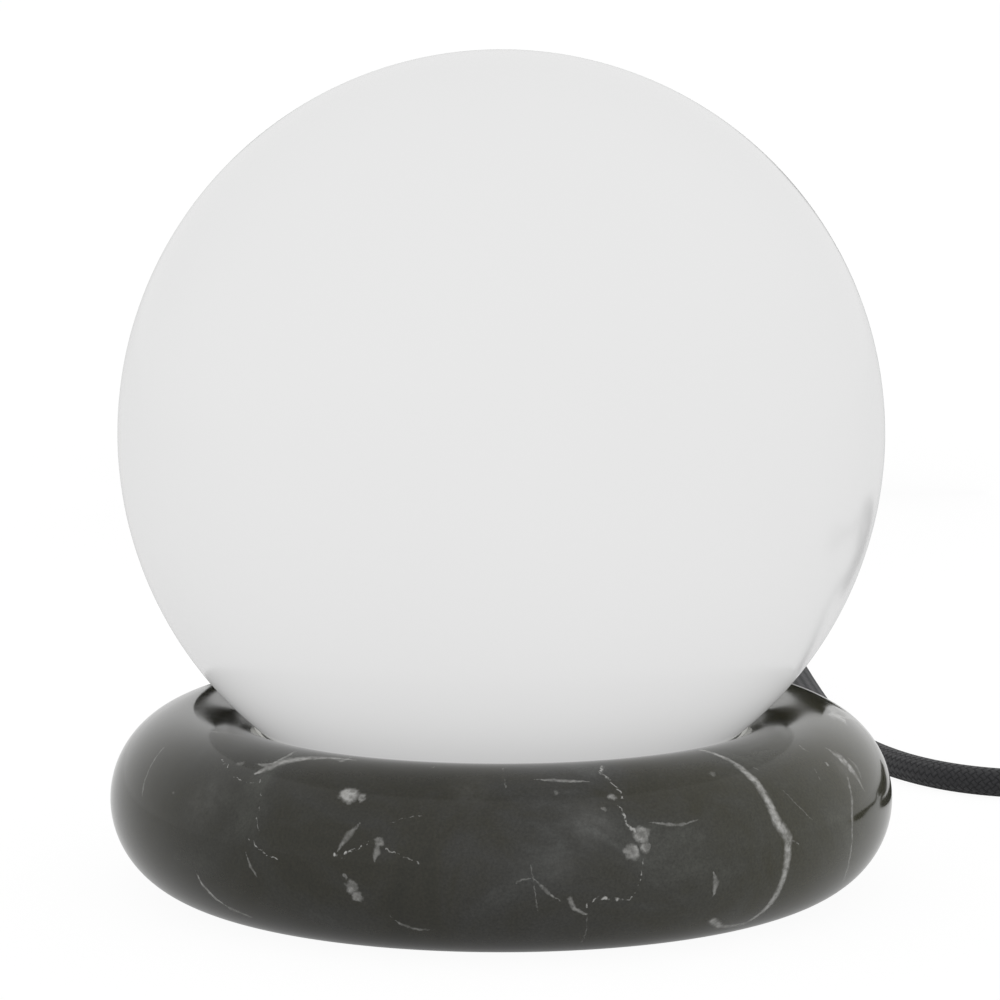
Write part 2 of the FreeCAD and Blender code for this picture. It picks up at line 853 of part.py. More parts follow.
def make_cores():
    """Two insulated cores from the sheath's end up to the lampholder's terminals."""
    cores = []
    spread_low = bridge_top + nipple_above + core_spread_start
    spread_high = core_disc_bottom - terminal_height - core_spread_room
    end = core_disc_bottom - terminal_height / 3
    for side in (-1, 1):
        near = side * core_spacing / 2
        far = side * terminal_offset
        points = [
            Vector(near, sheath_end, cord_height),
            Vector(near, 0, cord_height),
            Vector(near, 0, spread_low),
            Vector(far, 0, spread_high),
            Vector(far, 0, end),
        ]
        lower = points[:3]
        lower[2] = Vector(near, 0, (cord_height + spread_low) / 2)
        upper = [lower[2]] + points[2:]
        lower_wire = rounded_path(lower, core_bend)[0]
        upper_wire = rounded_path(upper, core_spread_bend)[0]
        wire = Part.Wire(lower_wire.Edges + upper_wire.Edges)
        cores.append(tube_along(wire, points[0], points[1] - points[0], core_diameter))
    return cores


# ---- Lampholder ----
def make_holder_cap():
    """Lower half of the lampholder, screwed on the nipple."""
    bore = nipple_diameter / 2 + nipple_gap
    inside = holder_radius - holder_wall
    floor = bridge_top + holder_floor_thickness
    return turned([
        (bore, bridge_top),
        (holder_radius - holder_chamfer, bridge_top),
        (holder_radius, bridge_top + holder_chamfer),
        (holder_radius, holder_rim),
        (inside, holder_rim),
        (inside, floor),
        (holder_boss_radius, floor),
        (holder_boss_radius, bridge_top + holder_boss_height),
        (bore, bridge_top + holder_boss_height),
    ])


def make_holder_sleeve():
    """Upper half of the lampholder, with the mouth for the bulb's cap."""
    outer = holder_radius
    inside = holder_radius - holder_wall
    lip = sleeve_top - holder_wall
    return turned([
        (inside, holder_rim),
        (outer, holder_rim),
        (outer, sleeve_top - holder_chamfer),
        (outer - holder_chamfer, sleeve_top),
        (sleeve_mouth_radius, sleeve_top),
        (sleeve_mouth_radius, lip),
        (inside, lip),
    ])


def make_holder_core():
    """Ceramic disc that carries the contacts and the terminals."""
    radius = holder_radius - holder_wall - core_disc_gap
    core = Part.makeCylinder(radius, core_disc_height, Vector(0, 0, core_disc_bottom))
    core = core.makeFillet(core_disc_edge, edges_at(core, core_disc_bottom))
    groove_low = core_disc_bottom + core_groove_lift
    groove_high = groove_low + core_groove_width
    groove = ring_of(radius - core_groove_depth, radius + PAST_FACE, groove_low, groove_high)
    return core.cut(groove)


def thread_form(radius, bottom, top):
    """Round-crested thread: level circles whose middles climb round a helix."""
    count = int(math.ceil((top - bottom) / thread_pitch * thread_steps))
    wires = []
    for number in range(count + 1):
        height = bottom + (top - bottom) * number / count
        angle = 2 * math.pi * (height - cap_bottom) / thread_pitch
        middle = Vector(thread_ridge * math.cos(angle), thread_ridge * math.sin(angle), height)
        wires.append(Part.Wire([Part.Circle(middle, Z_AXIS, radius).toShape()]))
    return Part.makeLoft(wires, True, True)


def make_thread_shell():
    """Brass screw shell of the lampholder."""
    outer = thread_crest_diameter / 2 + thread_gap + thread_shell_wall
    flange = holder_radius - holder_wall - core_disc_gap
    shell = turned([
        (0, core_disc_top),
        (flange, core_disc_top),
        (flange, core_disc_top + thread_shell_flange),
        (outer, core_disc_top + thread_shell_flange),
        (outer, thread_shell_top),
        (0, thread_shell_top),
    ])
    low = core_disc_top - PAST_FACE
    high = thread_shell_top + PAST_FACE
    return shell.cut(thread_form(thread_radius + thread_gap, low, high))


def make_centre_contact():
    """Sprung tongue under the bulb's tip."""
    low = core_disc_top
    high = core_disc_top + contact_rise
    half = tip_radius
    corners = [
        (-half, low),
        (half, low),
        (half, low + contact_thickness),
        (half - contact_web_slant, low + contact_thickness),
        (half, high - contact_thickness),
        (half, high),
        (-half, high),
        (-half, high - contact_thickness),
        (half - contact_web_width, high - contact_thickness),
        (half - contact_web_slant - contact_web_width, low + contact_thickness),
        (-half, low + contact_thickness),
    ]
    outline = [Vector(x, -contact_width / 2, z) for x, z in corners]
    face = Part.Face(Part.makePolygon(outline + outline[:1]))
    return face.extrude(Vector(0, contact_width, 0))


def make_terminals():
    """Two brass blocks under the disc, each bored from below for its core."""
    blocks = []
    for side in (-1, 1):
        middle = Vector(side * terminal_offset, 0, core_disc_bottom - terminal_height / 2)
        block = centred_box(middle, Vector(terminal_size, terminal_size, terminal_height))
        bore_base = Vector(middle.x, 0, core_disc_bottom - terminal_height - PAST_FACE)
        bore_radius = core_diameter / 2 + core_bore_gap
        bore = Part.makeCylinder(bore_radius, terminal_bore_depth + PAST_FACE, bore_base)
        screw_radius = terminal_screw_diameter / 2 + fastener_gap
        screw_hole = along_y(Part.makeCylinder(screw_radius, terminal_size))
        screw_hole.translate(Vector(middle.x, core_diameter / 2, middle.z))
        blocks.append(block.cut(bore).cut(screw_hole))
    return blocks


def make_terminal_screws():
    """Screws that clamp the cores in the terminals."""
    screws = []
    for side in (-1, 1):
        height = core_disc_bottom - terminal_height / 2
        shank_start = core_diameter / 2 + terminal_screw_gap
        face = terminal_size / 2
        head = face + terminal_screw_head_height
        radius = terminal_screw_diameter / 2
        head_radius = terminal_screw_head_diameter / 2
        screw = turned([
            (0, shank_start),
            (radius, shank_start),
            (radius, face),
            (head_radius, face),
            (head_radius, head),
            (0, head),
        ])
        slot_size = Vector(terminal_screw_head_diameter * 2, terminal_slot_width, terminal_slot_depth * 2)
        slot = centred_box(Vector(0, 0, head), slot_size)
        screw = along_y(screw.cut(slot))
        screws.append(moved(screw, Vector(side * terminal_offset, 0, height)))
    return screws


# ---- Bulb ----
def make_bulb_cap():
    """Thin screw cap of the bulb, with a plain collar above the thread."""
    form = thread_form(thread_radius, cap_bottom, collar_bottom + thread_run_out)
    collar_base = Vector(0, 0, collar_bottom)
    collar = Part.makeCylinder(thread_crest_diameter / 2, cap_collar_height, collar_base)
    bore_radius = thread_radius - thread_ridge - cap_wall
    bore_base = Vector(0, 0, cap_bottom - PAST_FACE)
    bore = Part.makeCylinder(bore_radius, housing_bottom - cap_bottom + 2 * PAST_FACE, bore_base)
    return form.fuse(collar).cut(bore)


def make_tip():
    """Contact at the very end of the cap."""
    top = tip_bottom + tip_height
    return turned([
        (0, tip_bottom),
        (tip_radius * tip_flat_share, tip_bottom),
        (tip_radius * tip_shoulder_share, tip_bottom + tip_shoulder_rise),
        (tip_radius, top),
        (0, top),
    ])


def make_insulator():
    """Dark glass cone between the tip and the screw cap."""
    top_radius = thread_radius - thread_ridge - insulator_inset
    return turned([
        (0, insulator_bottom),
        (tip_radius + insulator_past_tip, insulator_bottom),
        (top_radius, cap_bottom - insulator_rim),
        (top_radius, cap_bottom),
        (0, cap_bottom),
    ])


def housing_outline(inset):
    """Side of the bulb's housing, from its neck up to its rim, as (radius, height)."""
    rim = math.sqrt(envelope_radius ** 2 - envelope_above_rim ** 2)
    side = []
    for number in range(housing_steps + 1):
        share = number / housing_steps
        swell = math.sin(share * math.pi / 2)
        radius = housing_neck_radius + (rim - housing_neck_radius) * swell
        side.append((radius - inset, housing_bottom + housing_height * share))
    return side


def make_housing():
    """Moulded body of the bulb round its driver."""
    outside = housing_outline(0)
    inside = housing_outline(housing_wall)
    floor = housing_bottom + housing_wall
    inner = [(radius, height) for radius, height in inside if height > floor]
    bottom = [(inner[0][0], floor), (0, floor)]
    return turned([(0, housing_bottom)] + outside + list(reversed(inner)) + bottom)


def make_envelope():
    """Round diffuser of the bulb."""
    centre = Vector(0, 0, envelope_middle)
    outer = Part.makeSphere(envelope_radius, centre)
    inner = Part.makeSphere(envelope_radius - envelope_wall, centre)
    below = Part.makeCylinder(envelope_diameter, envelope_diameter)
    below.translate(Vector(0, 0, housing_top - envelope_diameter))
    return outer.cut(inner).cut(below)


def make_led_board():
    """Metal board inside the housing's rim."""
    rim = math.sqrt(envelope_radius ** 2 - envelope_above_rim ** 2)
    radius = rim - housing_wall - led_board_inset
    base = Vector(0, 0, housing_top - led_board_thickness)
    return Part.makeCylinder(radius, led_board_thickness, base)


def make_leds():
    """Light-emitting chips in a circle on the board."""
    rim = math.sqrt(envelope_radius ** 2 - envelope_above_rim ** 2)
    middle = Vector(rim * led_circle_share, 0, housing_top + led_height / 2)
    chip = centred_box(middle, Vector(led_length, led_width, led_height))
    return on_circle(chip, led_count)


def make_driver_board():
    """Upright circuit board in the housing."""
    middle = Vector(0, 0, housing_bottom + housing_wall + driver_floor_gap + driver_height / 2)
    return centred_box(middle, Vector(driver_width, driver_thickness, driver_height))


def make_driver_parts():
    """Capacitor and choke on the circuit board."""
    base = housing_bottom + housing_wall + driver_parts_lift
    offset = driver_thickness / 2 + capacitor_diameter / 2
    capacitor = Part.makeCylinder(capacitor_diameter / 2, capacitor_length, Vector(0, offset, base))
    choke_middle = Vector(0, -driver_thickness / 2 - coil_part_size / 2, base + coil_part_size / 2)
    choke = centred_box(choke_middle, Vector(coil_part_size, coil_part_size, coil_part_size))
    return [capacitor, choke]


# ---- In-line switch, made along X and then laid along -Y ----
def placed_switch(shape):
    """Turn a switch piece to its place on the cord."""
    shape.rotate(Vector(), Z_AXIS, -RIGHT_ANGLE)
    shape.translate(switch_middle)
    return shape


def switch_outline(inset):
    """Plan of the switch housing, drawn in by an inset."""
    end = switch_length / 2 - inset
    shoulder = switch_length / 2 - switch_taper - inset / 2
    wide = switch_width / 2 - inset
    narrow = switch_end_width / 2 - inset / 2
    right = [(end, -narrow), (end, narrow), (shoulder, wide)]
    left = [(-shoulder, wide), (-end, narrow), (-end, -narrow), (-shoulder, -wide)]
    return right + left + [(shoulder, -wide)]


def switch_bores():
    """Ways in for the cord at both ends."""
    bores = []
    for side in (-1, 1):
        start = Vector(side * (switch_length / 2 - switch_bore_length), 0, switch_cord_height)
        bores.append(Part.makeCylinder(cord_radius + switch_cord_gap, switch_length, start, X_AXIS * side))
    return bores


def switch_post_places():
    """Two screw posts, at opposite corners."""
    return [switch_post_place, switch_post_place * -1]


def switch_grip_blocks(bottom, top):
    """Blocks inside both ends that hold the cord."""
    blocks = []
    length = switch_bore_length - 2 * switch_block_setback
    width = switch_end_width - 2 * switch_block_inset
    for side in (-1, 1):
        place = side * (switch_length / 2 - switch_bore_length / 2)
        middle = Vector(place, 0, (bottom + top) / 2)
        blocks.append(centred_box(middle, Vector(length, width, top - bottom)))
    return blocks


def make_switch_base():
    """Lower half of the switch housing."""
    outer = plate_shape(switch_outline(0), switch_split - switch_floor_gap, switch_floor_gap)
    outer = outer.makeFillet(switch_base_edge, edges_at(outer, switch_floor_gap))
    floor = switch_floor_gap + switch_wall
    base = outer.cut(plate_shape(switch_outline(switch_wall), switch_height, floor))
    for block in switch_grip_blocks(floor, switch_split):
        base = base.fuse(block)
    head_radius = switch_screw_head_diameter / 2 + switch_screw_head_gap
    for place in switch_post_places():
        post_base = place + Vector(0, 0, floor)
        post = Part.makeCylinder(switch_post_diameter / 2, switch_split - floor, post_base)
        hole = Part.makeCylinder(clamp_screw_diameter / 2 + fastener_gap, switch_height, place)
        head = Part.makeCylinder(head_radius, switch_screw_head_top, place)
        base = base.fuse(post).cut(hole).cut(head)
    for bore in switch_bores():
        base = base.cut(bore)
    return base.removeSplitter()


def make_switch_cover():
    """Upper half of the switch housing, with the rocker's opening and its cheeks."""
    outer = plate_shape(switch_outline(0), switch_height - switch_split, switch_split)
    outer = outer.makeFillet(switch_edge, edges_at(outer, switch_height))
    ceiling = switch_height - switch_wall
    hollow_base = switch_split - PAST_FACE
    hollow = plate_shape(switch_outline(switch_wall), ceiling - hollow_base, hollow_base)
    cover = outer.cut(hollow)
    cheek_bottom = rocker_pivot_height - cheek_radius
    cheek_size = Vector(cheek_radius * 2, cheek_thickness, ceiling - cheek_bottom)
    cheek_place = rocker_width / 2 + cheek_gap + cheek_thickness / 2
    for side in (-1, 1):
        middle = Vector(0, side * cheek_place, (cheek_bottom + ceiling) / 2)
        cover = cover.fuse(centred_box(middle, cheek_size))
    for block in switch_grip_blocks(switch_split, ceiling):
        cover = cover.fuse(block)
    post_height = ceiling - switch_split
    hole_radius = clamp_screw_diameter / 2 + fastener_gap
    for place in switch_post_places():
        post_base = place + Vector(0, 0, switch_split)
        cover = cover.fuse(Part.makeCylinder(switch_post_diameter / 2, post_height, post_base))
        cover = cover.cut(Part.makeCylinder(hole_radius, post_height - switch_wall / 2, post_base))
    opening_length = 2 * (rocker_half_length + rocker_end_gap)
    opening = Vector(opening_length, rocker_width + 2 * rocker_gap, switch_wall * 3)
    cover = cover.cut(centred_box(Vector(0, 0, switch_height), opening))
    pin_length = rocker_width + 2 * (cheek_gap + cheek_thickness)
    pin_way = along_y(Part.makeCylinder(pivot_diameter / 2 + pivot_gap, pin_length))
    cover = cover.cut(moved(pin_way, Vector(0, -pin_length / 2, rocker_pivot_height)))
    for bore in switch_bores():
        cover = cover.cut(bore)
    return cover.removeSplitter()


def tilted(shape, angle):
    """Turn a rocker piece about its pivot. A positive angle lowers the +X end."""
    shape.rotate(Vector(0, 0, rocker_pivot_height), Y_AXIS, angle)
    return shape


def make_rocker():
    """Rocker with its two pads, at rest with the +X end up."""
    pivot = rocker_pivot_height
    half = rocker_half_length
    corners = [
        (-half, pivot + rocker_side_height),
        (-rocker_keel_half, pivot - rocker_keel_drop),
        (rocker_keel_half, pivot - rocker_keel_drop),
        (half, pivot + rocker_side_height),
        (half, pivot + rocker_end_rise),
        (0, pivot + rocker_end_rise - rocker_dip),
        (-half, pivot + rocker_end_rise),
    ]
    outline = [Vector(x, -rocker_width / 2, z) for x, z in corners]
    face = Part.Face(Part.makePolygon(outline + outline[:1]))
    rocker = face.extrude(Vector(0, rocker_width, 0))
    ends = []
    for edge in edges_along(rocker, Y_AXIS):
        if abs(edge.CenterOfMass.z - pivot - rocker_end_rise) < SAME_PLACE:
            ends.append(edge)
    rocker = rocker.makeFillet(rocker_end_edge, ends)
    hole = along_y(Part.makeCylinder(pivot_diameter / 2 + pivot_gap, switch_width))
    hole.translate(Vector(0, -switch_width / 2, pivot))
    return tilted(rocker.cut(hole), -rocker_tilt)


def make_pivot():
    """Steel pin held by the cover's cheeks."""
    length = rocker_width + 2 * (cheek_gap + cheek_thickness)
    pin = along_y(Part.makeCylinder(pivot_diameter / 2, length))
    return moved(pin, Vector(0, -length / 2, rocker_pivot_height))


def make_blade():
    """Contact blade under the rocker. It closes the circuit when the +X end is pressed."""
    top = rocker_pivot_height - rocker_keel_drop
    length = blade_reach + rocker_keel_half
    middle = Vector((blade_reach - rocker_keel_half) / 2, 0, top - blade_thickness / 2)
    return tilted(centred_box(middle, Vector(length, blade_width, blade_thickness)), -rocker_tilt)


def make_switch_contacts():
    """Two fixed contacts on posts, each joined to its terminal block."""
    pieces = []
    floor = switch_floor_gap + switch_wall
    for side in (-1, 1):
        reach = blade_reach + fixed_contact_past_blade if side > 0 else rocker_keel_half
        inner = side * (reach - fixed_contact_lap)
        outer = side * (switch_terminal_place + switch_terminal_size / 2)
        low_x = min(inner, outer)
        length = abs(outer - inner)
        base = Vector(low_x, -blade_width / 2, fixed_contact_height - fixed_contact_thickness)
        strip = Part.makeBox(length, blade_width, fixed_contact_thickness, base)
        block_middle = Vector(side * switch_terminal_place, 0, (floor + fixed_contact_height) / 2)
        block_size = Vector(switch_terminal_size, switch_terminal_width, fixed_contact_height - floor)
        block = centred_box(block_middle, block_size)
        bore_start = Vector(side * switch_length / 2, switch_core_offset, floor + switch_core_lift)
        bore_radius = core_diameter / 2 + core_bore_gap
        bore = Part.makeCylinder(bore_radius, switch_length / 2, bore_start, X_AXIS * -side)
        screw_base = Vector(side * switch_terminal_place, switch_core_offset, floor + switch_core_lift)
        screw_radius = terminal_screw_diameter / 2 + fastener_gap
        screw_way = Part.makeCylinder(screw_radius, switch_height, screw_base)
        contact = strip.fuse(block).cut(bore.common(block)).cut(screw_way)
        pieces.append(contact.removeSplitter())
    return pieces


def make_switch_terminal_screws():
    """Screws that clamp the cut core in the terminal blocks."""
    screws = []
    floor = switch_floor_gap + switch_wall
    bottom = floor + switch_core_lift + core_diameter / 2 + terminal_screw_gap
    for side in (-1, 1):
        screw = pan_screw(
            terminal_screw_diameter,
            terminal_screw_head_diameter,
            terminal_screw_head_height,
            fixed_contact_height,
            bottom,
        )
        screws.append(moved(screw, Vector(side * switch_terminal_place, switch_core_offset, 0)))
    return screws


def make_cover_screws():
    """Screws from below that hold the two halves together."""
    screws = []
    head_radius = switch_screw_head_diameter / 2
    head_bottom = switch_floor_gap + switch_screw_head_rise
    radius = clamp_screw_diameter / 2
    top = switch_height - switch_wall - switch_screw_room
    for place in switch_post_places():
        screw = turned([
            (0, head_bottom),
            (head_radius, head_bottom),
            (head_radius, switch_screw_head_top),
            (radius, switch_screw_head_top),
            (radius, top - screw_tip_chamfer),
            (radius - screw_tip_chamfer, top),
            (0, top),
        ])
        socket = hexagon(switch_socket_across, switch_socket_depth + PAST_FACE, head_bottom - PAST_FACE)
        screws.append(moved(screw.cut(socket), place))
    return screws


def make_switch_wires():
    """Cord ends in the switch: both sheaths and both ends of the cut core."""
    floor = switch_floor_gap + switch_wall
    wires = []
    for side in (-1, 1):
        start = Vector(side * switch_length / 2, 0, switch_cord_height)
        wires.append(Part.makeCylinder(cord_radius, switch_bore_length, start, X_AXIS * -side))
        inner = switch_length / 2 - switch_bore_length
        cut_start = Vector(side * inner, switch_core_offset, floor + switch_core_lift)
        cut_length = inner - switch_terminal_place
        wires.append(Part.makeCylinder(core_diameter / 2, cut_length, cut_start, X_AXIS * -side))
    return wires


# ---- Coil tie ----
def make_tie():
    """Flat strap round the four strands of the coil."""
    share = (coil_first_angle - tie_angle) / FULL_TURN
    outer_strand = coil_outer_radius - coil_pitch * share
    inner_strand = outer_strand - coil_pitch
    middle_radius = (outer_strand + inner_strand) / 2
    width = coil_pitch + cord_diameter + 2 * tie_gap
    height = coil_layer_step + cord_diameter + 2 * tie_gap
    middle_height = (coil_low + coil_high) / 2
    corner = cord_radius
    hole = centred_box(Vector(middle_radius, 0, middle_height), Vector(width, tie_width * 2, height))
    hole = hole.makeFillet(corner, edges_along(hole, Y_AXIS))
    size = Vector(width + 2 * tie_thickness, tie_width, height + 2 * tie_thickness)
    strap = centred_box(Vector(middle_radius, 0, middle_height), size)
    strap = strap.makeFillet(corner + tie_thickness, edges_along(strap, Y_AXIS))
    strap = strap.cut(hole)
    strap.rotate(Vector(), Z_AXIS, tie_angle)
    return moved(strap, coil_centre)


# ---- Plug, made along +Y from the end of the cord and then laid along -Y ----
def placed_plug(shape):
    """Turn a plug piece to its place at the end of the cord."""
    shape.rotate(Vector(), Z_AXIS, FULL_TURN / 2)
    shape.translate(plug_entry)
    return shape


def make_plug_body():
    """Flat moulded plug with a tapered tail for the cord."""
    half = plug_width / 2
    root = plug_tail_root_diameter / 2
    nose_half = plug_nose_width / 2
    widest = plug_tail_length + plug_back_taper
    shoulder = plug_nose - plug_nose_taper
    corners = [
        (-root, plug_tail_length),
        (root, plug_tail_length),
        (half, widest),
        (half, shoulder),
        (nose_half, plug_nose),
        (-nose_half, plug_nose),
        (-half, shoulder),
        (-half, widest),
    ]
    body = plate_shape(corners, plug_thickness, -plug_thickness / 2)
    rims = edges_at(body, plug_thickness / 2) + edges_at(body, -plug_thickness / 2)
    body = body.makeFillet(plug_edge, rims)
    tail_tip = cord_radius + plug_tail_wall
    tail_length = plug_tail_length + PAST_FACE
    tail = turned([(0, 0), (tail_tip, 0), (root, tail_length), (0, tail_length)])
    body = body.fuse(along_y(tail))
    for side in (-1, 1):
        base = Vector(side * pin_spacing / 2, plug_nose - pin_root, 0)
        body = body.cut(Part.makeCylinder(pin_neck_diameter / 2, pin_root * 2, base, Y_AXIS))
    return body.removeSplitter()


def make_pins():
    """Two round pins, necked where they are sleeved, rooted in the plug."""
    pins = []
    neck = pin_neck_diameter / 2
    thick = pin_diameter / 2
    for side in (-1, 1):
        pin = turned([
            (0, -pin_root),
            (neck, -pin_root),
            (neck, pin_neck_length),
            (thick, pin_neck_length),
            (thick, pin_length - pin_tip_chamfer),
            (thick - pin_tip_chamfer, pin_length),
            (0, pin_length),
        ])
        pins.append(moved(along_y(pin), Vector(side * pin_spacing / 2, plug_nose, 0)))
    return pins


def make_pin_sleeves():
    """Insulating sleeves on the pins' necks."""
    sleeves = []
    for side in (-1, 1):
        sleeve = along_y(ring_of(pin_neck_diameter / 2, pin_sleeve_diameter / 2, 0, pin_neck_length))
        sleeves.append(moved(sleeve, Vector(side * pin_spacing / 2, plug_nose, 0)))
    return sleeves


# ---- All pieces ----
os.makedirs("parts", exist_ok=True)

save("glass_globe", make_globe())
save("marble_ring", make_ring())
save("seat_ring", seat_torus(0))
save("foot_pad", make_pad())
save("base_plate", make_plate())
save("plate_inserts", make_inserts())
save("plate_screws", make_plate_screws())
save("holder_bridge", make_bridge())
save("bridge_screws", make_bridge_screws())
save("threaded_nipple", make_nipple())
save("nipple_washer", make_washer())
save("nipple_nut", make_nut())
save("clamp_block", clamp_piece(plate_top, cord_height - clamp_slit / 2))
save("clamp_bar", clamp_piece(cord_height + clamp_slit / 2, clamp_top()))
save("clamp_screws", make_clamp_screws())
save("cord_relief", make_relief())
save("cord_inner", make_inner_cord())
save("wire_cores", make_cores())
save("holder_cap", make_holder_cap())
save("holder_sleeve", make_holder_sleeve())
save("holder_core", make_holder_core())
save("thread_shell", make_thread_shell())
save("centre_contact", make_centre_contact())
save("holder_terminals", make_terminals())
save("terminal_screws", make_terminal_screws())
save("bulb_cap", make_bulb_cap())
save("cap_contact", make_tip())
save("cap_insulator", make_insulator())
save("bulb_housing", make_housing())
save("bulb_envelope", make_envelope())
save("led_board", make_led_board())
save("led_chips", make_leds())
save("driver_board", make_driver_board())
save("driver_parts", make_driver_parts())
save("cord_lead", cord_stretch("cord_lead", lead_points))
save("switch_base", placed_switch(make_switch_base()))
save("switch_cover", placed_switch(make_switch_cover()))
save("switch_rocker", placed_switch(make_rocker()))
save("switch_pivot", placed_switch(make_pivot()))
save("rocker_blade", placed_switch(make_blade()))
save("switch_contacts", [placed_switch(piece) for piece in make_switch_contacts()])
save("switch_terminal_screws", [placed_switch(screw) for screw in make_switch_terminal_screws()])
save("switch_cover_screws", [placed_switch(screw) for screw in make_cover_screws()])
save("switch_wires", [placed_switch(wire) for wire in make_switch_wires()])
save("cord_link", cord_stretch("cord_link", link_points))
save("cord_coil", make_coil())
save("coil_tie", make_tie())
save("cord_tail", cord_stretch("cord_tail", tail_points))
save("plug_body", placed_plug(make_plug_body()))
save("plug_pins", [placed_plug(pin) for pin in make_pins()])
save("pin_sleeves", [placed_plug(sleeve) for sleeve in make_pin_sleeves()])
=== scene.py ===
import math

import bmesh
import bpy
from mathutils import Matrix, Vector


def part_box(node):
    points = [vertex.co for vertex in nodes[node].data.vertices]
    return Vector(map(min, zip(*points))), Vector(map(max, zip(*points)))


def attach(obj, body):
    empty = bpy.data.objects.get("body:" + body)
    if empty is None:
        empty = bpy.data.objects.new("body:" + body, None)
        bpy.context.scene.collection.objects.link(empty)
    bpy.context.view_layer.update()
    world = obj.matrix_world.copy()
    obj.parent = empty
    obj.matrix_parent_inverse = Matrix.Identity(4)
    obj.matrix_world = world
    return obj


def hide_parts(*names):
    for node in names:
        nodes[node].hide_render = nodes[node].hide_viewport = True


# Globe table lamp: an opal glass globe nested in a polished marble ring, with a braided cord.
# Metres, in the frame of the solids: +Z up, the origin on the table under the ring's middle.

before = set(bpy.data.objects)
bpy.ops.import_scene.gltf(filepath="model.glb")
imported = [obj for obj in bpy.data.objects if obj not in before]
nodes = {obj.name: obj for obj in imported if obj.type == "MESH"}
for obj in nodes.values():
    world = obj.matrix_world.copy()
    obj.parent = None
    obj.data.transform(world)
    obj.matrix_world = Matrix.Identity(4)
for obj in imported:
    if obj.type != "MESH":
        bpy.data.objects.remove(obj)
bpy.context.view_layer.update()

MM = 0.001

# ---- Sizes read from the solids, and the few that a box can't give ----
globe_low, globe_high = (Vector(corner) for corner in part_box("glass_globe"))
GLOBE_RADIUS = (globe_high.x - globe_low.x) / 2
GLOBE_CENTRE = Vector((0, 0, globe_high.z - GLOBE_RADIUS))
GLOBE_WALL = 3 * MM
GLOBE_MOUTH_RADIUS = 45 * MM

ring_low, ring_high = (Vector(corner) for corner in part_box("marble_ring"))
plate_high = Vector(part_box("base_plate")[1])
SECTION_RADIUS = 21.25 * MM
RING_RADIUS = ring_high.x - SECTION_RADIUS
RING_MIDDLE = ring_high.z - SECTION_RADIUS
RING_FOOT = ring_low.z
REBATE_RADIUS = plate_high.x + 0.3 * MM
REBATE_TOP = plate_high.z
BORE_RADIUS = 5.7 * MM
BORE_HEIGHT = 12 * MM

CORD_DIAMETER = 7.2 * MM
CORD_FLOOR = 3.7 * MM           # height of the cord's middle where it lies on the table

# ---- Camera and the photograph's frame ----
PHOTO_SIZE = 1000
CAMERA_PLACE = Vector((-0.0003, -1.361, 0.3043))
CAMERA_DIP = math.radians(8.89)
CAMERA_LENS = 210.78            # millimetres, on a sensor 36 mm wide
SENSOR_WIDTH = 36.0


def new_object(name, data):
    """Object in the scene, at the origin."""
    made = bpy.data.objects.new(name, data)
    bpy.context.scene.collection.objects.link(made)
    return made


def add_camera():
    """Far away and a little above the lamp, as in the photograph."""
    data = bpy.data.cameras.new("camera")
    data.sensor_width = SENSOR_WIDTH
    data.lens = CAMERA_LENS
    data.clip_start = 0.05
    data.clip_end = 30
    made = new_object("camera", data)
    made.location = CAMERA_PLACE
    made.rotation_euler = (math.pi / 2 - CAMERA_DIP, 0, 0)
    bpy.context.scene.camera = made
    return made


camera = add_camera()


# ---- Node trees ----
BROAD_PATCH = 18.18 * MM        # size of the slow changes of tone on every plain surface


def linear(code):
    """Linear colour from an sRGB hex value."""
    channels = []
    for start in (0, 2, 4):
        share = int(code[start:start + 2], 16) / 255
        channels.append(share / 12.92 if share <= 0.04045 else ((share + 0.055) / 1.055) ** 2.4)
    return (*channels, 1.0)


def add(tree, kind, inputs=None, stops=(), **settings):
    """Add a node with its settings. An input is a value, a socket, or a node that stands for its first
    output."""
    made = tree.nodes.new(kind)
    for name, value in settings.items():
        setattr(made, name, value)
    for socket, value in (inputs or {}).items():
        if isinstance(value, bpy.types.Node):
            value = value.outputs[0]
        if isinstance(value, bpy.types.NodeSocket):
            tree.links.new(value, made.inputs[socket])
        else:
            made.inputs[socket].default_value = value
    if stops:
        ramp = made.color_ramp.elements
        ramp[0].position, ramp[0].color = stops[0]
        ramp[1].position, ramp[1].color = stops[-1]
        for place, colour in stops[1:-1]:
            ramp.new(place).color = colour
    return made


# Sockets of a Mix node that mixes colours
FACTOR, FIRST, SECOND, MIXED = 0, 6, 7, 2


def new_material(name):
    """Material with its tree, its shader and the Object coordinates."""
    made = bpy.data.materials.new(name)
    made.use_nodes = True
    tree = made.node_tree
    return made, tree, tree.nodes["Principled BSDF"], add(tree, "ShaderNodeTexCoord").outputs["Object"]


